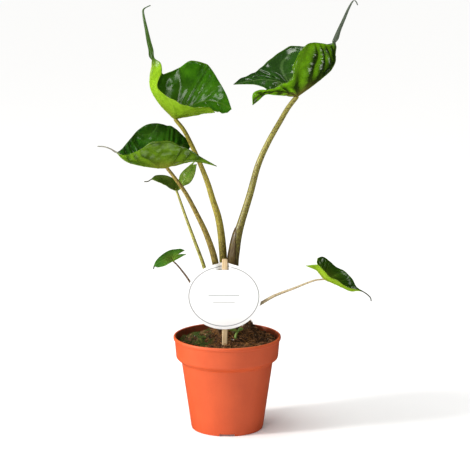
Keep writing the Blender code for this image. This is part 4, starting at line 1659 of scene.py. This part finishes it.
@dataclass
class Petiole:
    """One leaf stalk from the stem base to the back of its blade."""

    name: str
    rows: list[Row]
    skin: bpy.types.Material
    sides: int = 28
    steps: int = 10
    sheath_columns: int = 14
    sheath_depth: float = 0.4

    def build(self) -> None:
        """Sweep the stalk with faint ribs along it."""
        rows = spline(self.rows, self.steps)
        ahead = (rows[-1, :3] - rows[-3, :3]) / np.linalg.norm(rows[-1, :3] - rows[-3, :3])
        end, radius = np.array(self.rows[-1][:3], float), self.rows[-1][3]
        rows = np.vstack([rows, *([*(end + ahead * step), radius * left] for step, left in STALK_TIP)])
        points, faces, local = tube(rows, self.sides)
        centres = np.repeat(rows[:, :3], self.sides, axis=0)
        angle = np.arctan2(local[:, 1], local[:, 0])
        ribs = 0.010 * np.sin(9 * angle + local[:, 2] * 0.01) + 0.006 * np.sin(14 * angle)
        lumps = np.array([noise.noise(Vector((a, b, c * 0.12)) * 0.35) for a, b, c in local])
        points = centres + (points - centres) * (0.992 + ribs + 0.035 * lumps)[:, None]
        piece = mesh_piece(self.name.replace("petiole", "leaf_stalk"), points, faces, [self.skin])
        add_attribute(piece, "stalk", local)
        add_attribute(piece, "rise", local[:, 2] / local[-1, 2])
        declare(piece, "mottled_petiole", self.name)
        if self.name in SHEATHS:
            self.wrap(*SHEATHS[self.name])

    def wrap(self, top: float, facing: float, reach: float) -> None:
        """Add the dry sheath that wraps the stalk's foot and ends in a point.

        Args:
            top: Height of its point in millimetres.
            facing: Direction its point looks to, in degrees from +X.
            reach: Half of the angle it wraps at its foot, in degrees.
        """
        rows = spline(self.rows, self.steps)
        rows = rows[rows[:, 2] <= top]
        points, local = [], []
        columns = self.sheath_columns
        for x, y, z, radius in rows:
            t = (z - rows[0][2]) / (rows[-1][2] - rows[0][2])
            half = radians(reach) * (1 - t**3) ** 0.6 + 0.02
            for j in range(columns + 1):
                a = radians(facing) + half * (2 * j / columns - 1)
                loose = 0.25 + 0.35 * t + 0.2 * noise.noise(Vector((4 * t, 0.4 * j, 2)))
                points.append((x + (radius + loose) * cos(a), y + (radius + loose) * sin(a), z))
                local.append((radius * cos(a), radius * sin(a), z * 0.9))
        faces = [(a, d, c, b) for a, b, c, d in grid_faces(len(rows), columns + 1)]
        dry = StalkSkin(self.name + "_sheath", SHEATH_PALE, SHEATH_GREEN, low=0.42, high=0.46)
        name = self.name.replace("petiole", "stalk_sheath")
        piece = mesh_piece(name, np.array(points), faces, [dry.build()])
        add_attribute(piece, "stalk", np.array(local))
        add_attribute(piece, "rise", np.zeros(len(points)))
        declare(thicken(piece, self.sheath_depth), "mottled_petiole")


@dataclass(frozen=True)
class Ruled:
    """One part of a blade, ruled from a rib to an edge.

    It holds the rows of both, the run along the midrib, the bow across as a share of the width,
    whether its triangles are turned over, and which way its veins lean.
    """

    rib: np.ndarray
    edge: np.ndarray
    run: np.ndarray
    bow: Rgb
    turned: bool
    way: float


@dataclass
class Blade:
    """One leaf blade, fine enough for its veins, ribs and quilting."""

    name: str
    shape: BladeShape
    skin: LeafSkin
    detail: Detail
    spacing: float
    puff: float
    lobe_bow: Rgb = (0, 0, -0.06)
    vein_reach: float = 0.65

    def parts(self) -> tuple[list[Ruled], float]:
        """Rule each half in two parts, outside and inside the rib of its lobe.

        Returns:
            The parts, and how far along the midrib the stalk's joint lies.
        """
        shape, steps = self.shape, self.detail.value[0]
        side = np.array(shape.side, float)
        side /= np.linalg.norm(side)
        tail, front = np.array(shape.tail, float), np.array(shape.front, float)
        midrib = np.vstack([tail[:, :3], front[:, 0]])
        near = np.vstack([tail[:, :3] + side * tail[:, 3:], front[:, 1]])
        far = np.vstack([tail[:, :3] - side * tail[:, 3:], front[:, 2]])
        made = []
        for half, margin, sag in ((Halves.NEAR, near, shape.sag[0]), (Halves.FAR, far, shape.sag[1])):
            rows = np.array(getattr(shape, half.value), float)
            outer = spline(np.vstack([margin, rows[:, 1]]), steps)
            inner = spline(np.vstack([np.array([shape.sinus], float), rows[:, 2]]), steps)
            rib = spline(np.vstack([midrib[-1:], rows[:, 0]]), steps)
            spine = np.vstack([spline(midrib, steps), rib[1:]])
            run = np.concatenate([[0], np.cumsum(np.linalg.norm(np.diff(spine, axis=0), axis=1))])
            turned = shape.mirrored if half is Halves.NEAR else not shape.mirrored
            made.append(Ruled(spine, outer, run, sag, turned, 1.0))
            made.append(Ruled(rib, inner, run[-len(rib):], self.lobe_bow, not turned, -1.0))
        return made, length_of(spline(midrib, steps))

    def sheet(self) -> tuple[Weld, np.ndarray]:
        """Weld the middle of the blade.

        Returns:
            The sheet with its upper face out, and for each point its vein phase, its place across
            the half, its distance to the rib, the width of its row and its run along the midrib.
        """
        across_at = np.linspace(0, 1, self.detail.value[1] + 1) ** 1.25
        weld = Weld()
        marks: list[Row] = []
        parts, joint = self.parts()
        for part in parts:
            grid = []
            for a, b, s in zip(part.rib, part.edge, part.run):
                wide = float(np.linalg.norm(b - a))
                middle = (a + b) / 2 + np.array(part.bow) * wide
                lean = part.way * float(np.clip((joint - s) / (0.42 * joint), -0.25, 0.85))
                line = []
                for t in across_at:
                    number = weld.add(a * (1 - t) ** 2 + middle * 2 * t * (1 - t) + b * t * t)
                    if number == len(marks):
                        marks.append(((s + lean * t * wide) / self.spacing, t, t * wide, wide, s))
                    line.append(number)
                grid.append(line)
            weld.fill(grid, part.turned)
        return weld, np.array(marks)

    def whip(self, run: np.ndarray) -> np.ndarray:
        """Tell how far points belong to the whip tail.

        Args:
            run: Run of each point along the midrib.

        Returns:
            A number from 0 to 1 for each.
        """
        end = length_of(np.array(self.shape.tail, float)[:, :3])
        t = np.clip((run - end + 1) / (0.18 * end + 2), 0, 1)
        return 1 - t * t * (3 - 2 * t)

    def heart(self, points: np.ndarray) -> np.ndarray:
        """Tell how near points are to the stalk's joint.

        Args:
            points: The points.

        Returns:
            A number from 0 to 1 for each.
        """
        reach = 0.09 * float(np.linalg.norm(np.array(self.shape.tail[0][:3]) - self.shape.sinus))
        away = np.linalg.norm(points - np.array(self.shape.front[-1][0], float), axis=1)
        return np.exp(-((away / (8 + reach)) ** 2))

    def build(self) -> None:
        """Quilt, vein and thicken the sheet."""
        weld, marks = self.sheet()
        points, triangles, normals = weld.arrays()
        phase, across, rib, wide, run = marks.T
        roomy = np.clip((wide - 6) / 14, 0, 1)
        off = np.abs(phase - np.round(phase))
        bulge = np.sin(0.5 * pi * np.minimum(off * 2, 1)) ** 0.8
        shoulder = np.sin(pi * np.clip(across, 0, 1)) ** 0.7
        ripple = np.array([noise.noise(Vector(p) * 0.07) for p in points])
        small = np.array([noise.noise(Vector(p) * 0.19 + Vector((7, 3, 1))) for p in points])
        lift = self.puff * roomy * shoulder * (bulge - 0.55 + 0.55 * small * bulge)
        lift += roomy * 0.9 * ripple * across
        lift += 0.55 * roomy * np.clip((across - 0.82) / 0.18, 0, 1) * np.sin(run * 0.33)
        vein = np.exp(-((off * self.spacing / self.vein_reach) ** 2))
        vein = vein * np.clip(1.1 - across, 0, 1) ** 0.6 * roomy
        main = np.exp(-((rib / (0.8 + 0.02 * wide)) ** 2)) * np.clip(wide / 8, 0.15, 1)
        half = PLY / 2 * (1 - 0.4 * np.clip((across - 0.88) / 0.12, 0, 1))
        upper = points + normals * (lift + half - 0.12 * vein - 0.35 * main)[:, None]
        lower = points + normals * (lift - half - 0.40 * vein - 1.15 * main)[:, None]
        low, high = (np.array(tuple(corner)) / MM for corner in CAD_BOX)
        solid = np.clip(np.vstack([upper, lower]), low, high)
        faces = weld.closed()
        piece = mesh_piece(self.name + "_blade", solid, faces, self.skin.build(self.spacing))
        under = np.zeros(len(faces), np.int32)
        under[len(triangles):] = 1
        piece.data.polygons.foreach_set("material_index", under)
        # The crest attribute places the painted highlight and painted shade of the quilting in the skin.
        attributes = {"vein_phase": phase, "across": across, "rib_mm": rib, "whip": self.whip(run),
                      "crest": bulge * shoulder, "heart": self.heart(points)}
        for name, values in attributes.items():
            add_attribute(piece, name, np.concatenate([values, values]))
        bpy.data.collections[GLOSSED].objects.link(piece)
        declare(piece, "glossy_leaf", self.name)


@dataclass
class Shoot:
    """Small green shoot that has just opened beside the stick."""

    green: YoungGreen = YoungGreen()
    leaflets: tuple[tuple[float, float], ...] = ((196, 11.0), (168, 8.0), (20, 6.5))
    steps: int = 12
    columns: int = 9
    depth: float = 0.4

    def build(self) -> None:
        """Sweep the shoot to a point and open its leaflets."""
        skin = self.green.build()
        rows = spline(SHOOT, 10)
        rows[:, 3] *= np.interp(np.linspace(0, 1, len(rows)), (0, 0.5, 0.8, 1), (0.95, 0.5, 0.62, 1))
        points, faces, _ = tube(rows, 24)
        declare(mesh_piece("young_shoot", points, faces, [skin]), "young_green", "new_shoot")
        for number, (turn, long) in enumerate(self.leaflets):
            self.leaflet(number, radians(turn), long, skin)

    def leaflet(self, number: int, turn: float, long: float, skin: bpy.types.Material) -> None:
        """Add one small cupped leaf at the shoot's neck.

        Args:
            number: Its place in the fan.
            turn: Direction it points to, seen from above, in radians.
            long: Its length in millimetres.
            skin: Its material.
        """
        root = np.array((12.0, -9.2, 112.0 + 0.8 * number))
        ahead, side = np.array((cos(turn), sin(turn), 0.12)), np.array((-sin(turn), cos(turn), 0.55))
        points = []
        for i in range(self.steps + 1):
            t = i / self.steps
            wide = 0.36 * long * sin(pi * min(1, t * 0.96 + 0.04)) ** 0.8
            for j in range(self.columns):
                v = 2 * j / (self.columns - 1) - 1
                rise = 0.9 * sin(2.2 * t) + 0.8 * v * v * wide / 3
                points.append(root + ahead * long * t + side * wide * v + np.array((0, 0, rise)))
        faces = grid_faces(self.steps + 1, self.columns)
        piece = mesh_piece(f"young_leaf_{number + 1}", np.array(points), faces, [skin])
        declare(thicken(piece, self.depth), "young_green")


@dataclass
class Label:
    """Oval card with a slit near its top, threaded on a flat wooden stick."""

    card: PrintedCard = PrintedCard()
    wood: Wood = Wood()
    columns: int = 72
    thick: float = 0.8
    gap: float = 0.3
    slit: float = 0.81
    strip_half: float = 8.6
    strip_ease: float = 4.6
    stick_sides: int = 32

    def build(self) -> None:
        """Build the stick and the card, whose strip over the slit bows back behind the stick."""
        self.stick()
        plane = STICK[1] - STICK_HALF[1] - self.gap - self.thick / 2
        push = 2 * (STICK_HALF[1] + self.gap) + self.thick
        angles = np.linspace(-90, 90, self.columns + 1)
        weld = Weld()
        for rows, back in ((np.linspace(-1, self.slit, 24), 0.0), (np.linspace(self.slit, 1, 7), push)):
            grid = []
            for row in rows:
                line = []
                for angle in angles:
                    x = CARD_RADII[0] * sin(radians(angle))
                    ease = float(np.clip((self.strip_half - abs(x)) / self.strip_ease, 0, 1))
                    ease *= ease * (3 - 2 * ease)
                    z = CARD_CENTRE[1] + CARD_RADII[1] * cos(radians(angle)) * row
                    line.append(weld.add((CARD_CENTRE[0] + x, plane + back * ease, z)))
                grid.append(line)
            weld.fill(grid)
        sheet, _, normals = weld.arrays()
        solid = np.vstack([sheet + normals * self.thick / 2, sheet - normals * self.thick / 2])
        piece = mesh_piece("name_card", solid, weld.closed(), [self.card.build()])
        piece.data.set_sharp_from_angle(angle=radians(40))
        add_attribute(piece, "front", np.repeat((1.0, 0.0), len(sheet)))
        declare(piece, "white_card", "label_card")

    def stick(self) -> None:
        """Build the flat stick with rounded edges and ends."""
        foot, top = STICK_SPAN
        rings = [(foot, 0.72), (foot + 0.6, 0.93), (foot + 1.4, 1.0)]
        rings += [(z, 1.0) for z in np.linspace(foot + 4, top - 4, 40)]
        rings += [(top - 1.4, 1.0), (top - 0.6, 0.95), (top, 0.75)]
        points: list[Row] = []
        for z, grow in rings:
            for c, s, _ in circle(1, 0, self.stick_sides):
                x = STICK_HALF[0] * grow * abs(c) ** 0.5 * (1 if c > 0 else -1)
                y = STICK_HALF[1] * grow * abs(s) ** 0.5 * (1 if s > 0 else -1)
                rough = 1 - 0.012 * (1 + noise.noise(Vector((x, y, z * 0.15))))
                points.append((STICK[0] + x * rough, STICK[1] + y * rough, float(z)))
        faces = capped_rings(len(rings), self.stick_sides)
        piece = mesh_piece("wooden_stick", np.array(points), faces, [self.wood.build()])
        piece.data.set_sharp_from_angle(angle=radians(45))
        declare(piece, "pale_wood", "label_stick")


STALK_SKINS = {
    "petiole_1": StalkSkin("stalk_1_skin", (0.38, 0.32, 0.045), (0.17, 0.13, 0.010), low=0.36, high=0.54),
    "petiole_2": StalkSkin("stalk_2_skin", (0.31, 0.28, 0.050), (0.12, 0.10, 0.008), low=0.35, high=0.50),
    "petiole_3": StalkSkin("stalk_3_skin", (0.33, 0.25, 0.050), (0.16, 0.11, 0.010), low=0.38, high=0.50),
    "petiole_4": StalkSkin("stalk_4_skin", (0.42, 0.40, 0.09), (0.33, 0.30, 0.05), low=0.46, high=0.52),
    "petiole_5": StalkSkin("stalk_5_skin", (0.22, 0.14, 0.085), (0.15, 0.085, 0.05), low=0.42, high=0.50),
    "petiole_6": StalkSkin("stalk_6_skin", (0.46, 0.37, 0.22), (0.36, 0.28, 0.15), low=0.44, high=0.54),
}
# The keywords other than blotching set painted light and shade on the crests, towards the margin and over
# the lower skin.
SKINS = {
    "leaf_1": LeafSkin("leaf_1", (0.012, 0.080, 0.001), (0.066, 0.230, 0.005),
                       (0.100, 0.205, 0.003), (0.195, 0.340, 0.014), (0.050, 0.11, 0.016)),
    "leaf_2": LeafSkin("leaf_2", (0.005, 0.024, 0.002), (0.018, 0.066, 0.006),
                       (0.004, 0.016, 0.0008), (0.230, 0.560, 0.006), (0.17, 0.21, 0.15),
                       (0.10, 0.19, 0.05), (0.12, 0.20, 0.02), (0.20, 0.16, 0.035),
                       painted_crest_shading=0.9, blotching=0.25, margin=0.8, shade=0.42),
    "leaf_3": LeafSkin("leaf_3", (0.004, 0.024, 0.002), (0.020, 0.088, 0.004),
                       (0.010, 0.036, 0.001), (0.105, 0.200, 0.008), (0.24, 0.23, 0.18),
                       (0.06, 0.16, 0.016), (0.16, 0.25, 0.020), painted_crest_shading=0.8, blotching=0.6,
                       margin=0.3, shade=0.22),
    "leaf_4": LeafSkin("leaf_4", (0.035, 0.075, 0.006), (0.160, 0.240, 0.040),
                       (0.035, 0.062, 0.006), (0.14, 0.20, 0.030), (0.12, 0.12, 0.06)),
    "leaf_5": LeafSkin("leaf_5", (0.006, 0.045, 0.004), (0.040, 0.135, 0.014),
                       (0.06, 0.15, 0.02), (0.14, 0.28, 0.04), (0.05, 0.08, 0.03),
                       (0.06, 0.17, 0.02)),
    "leaf_6": LeafSkin("leaf_6", (0.005, 0.028, 0.001), (0.024, 0.074, 0.003),
                       (0.130, 0.250, 0.006), (0.250, 0.410, 0.018), (0.07, 0.08, 0.05),
                       (0.09, 0.20, 0.012)),
}
# How far each blade puffs up between its veins
PUFFS = {"leaf_1": 1.3, "leaf_2": 3.0, "leaf_3": 2.2, "leaf_4": 1.1, "leaf_5": 0.45, "leaf_6": 0.7}
LARGE_LEAVES = ("leaf_1", "leaf_2", "leaf_3")
LARGE_SPACING, SMALL_SPACING = 15.0, 8.0


@dataclass
class Plant:
    """The potted plant: its pieces in the order in which they stand on one another."""

    studio: Studio = field(default_factory=Studio)

    def build(self) -> None:
        """Build everything."""
        self.studio.build()
        Pot().build()
        Soil().build()
        Crown().build()
        for name, rows in PETIOLES.items():
            Petiole(name, rows, STALK_SKINS[name].build()).build()
        for name, shape in BLADES.items():
            large = name in LARGE_LEAVES
            detail, spacing = (Detail.LARGE, LARGE_SPACING) if large else (Detail.SMALL, SMALL_SPACING)
            Blade(name, shape, SKINS[name], detail, spacing, PUFFS[name]).build()
        Shoot().build()
        Label().build()


def main() -> None:
    """Build the looks."""
    logging.basicConfig(level=logging.INFO, format="%(name)s %(message)s")
    Plant().build()
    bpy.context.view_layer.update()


if __name__ == "__main__":
    main()
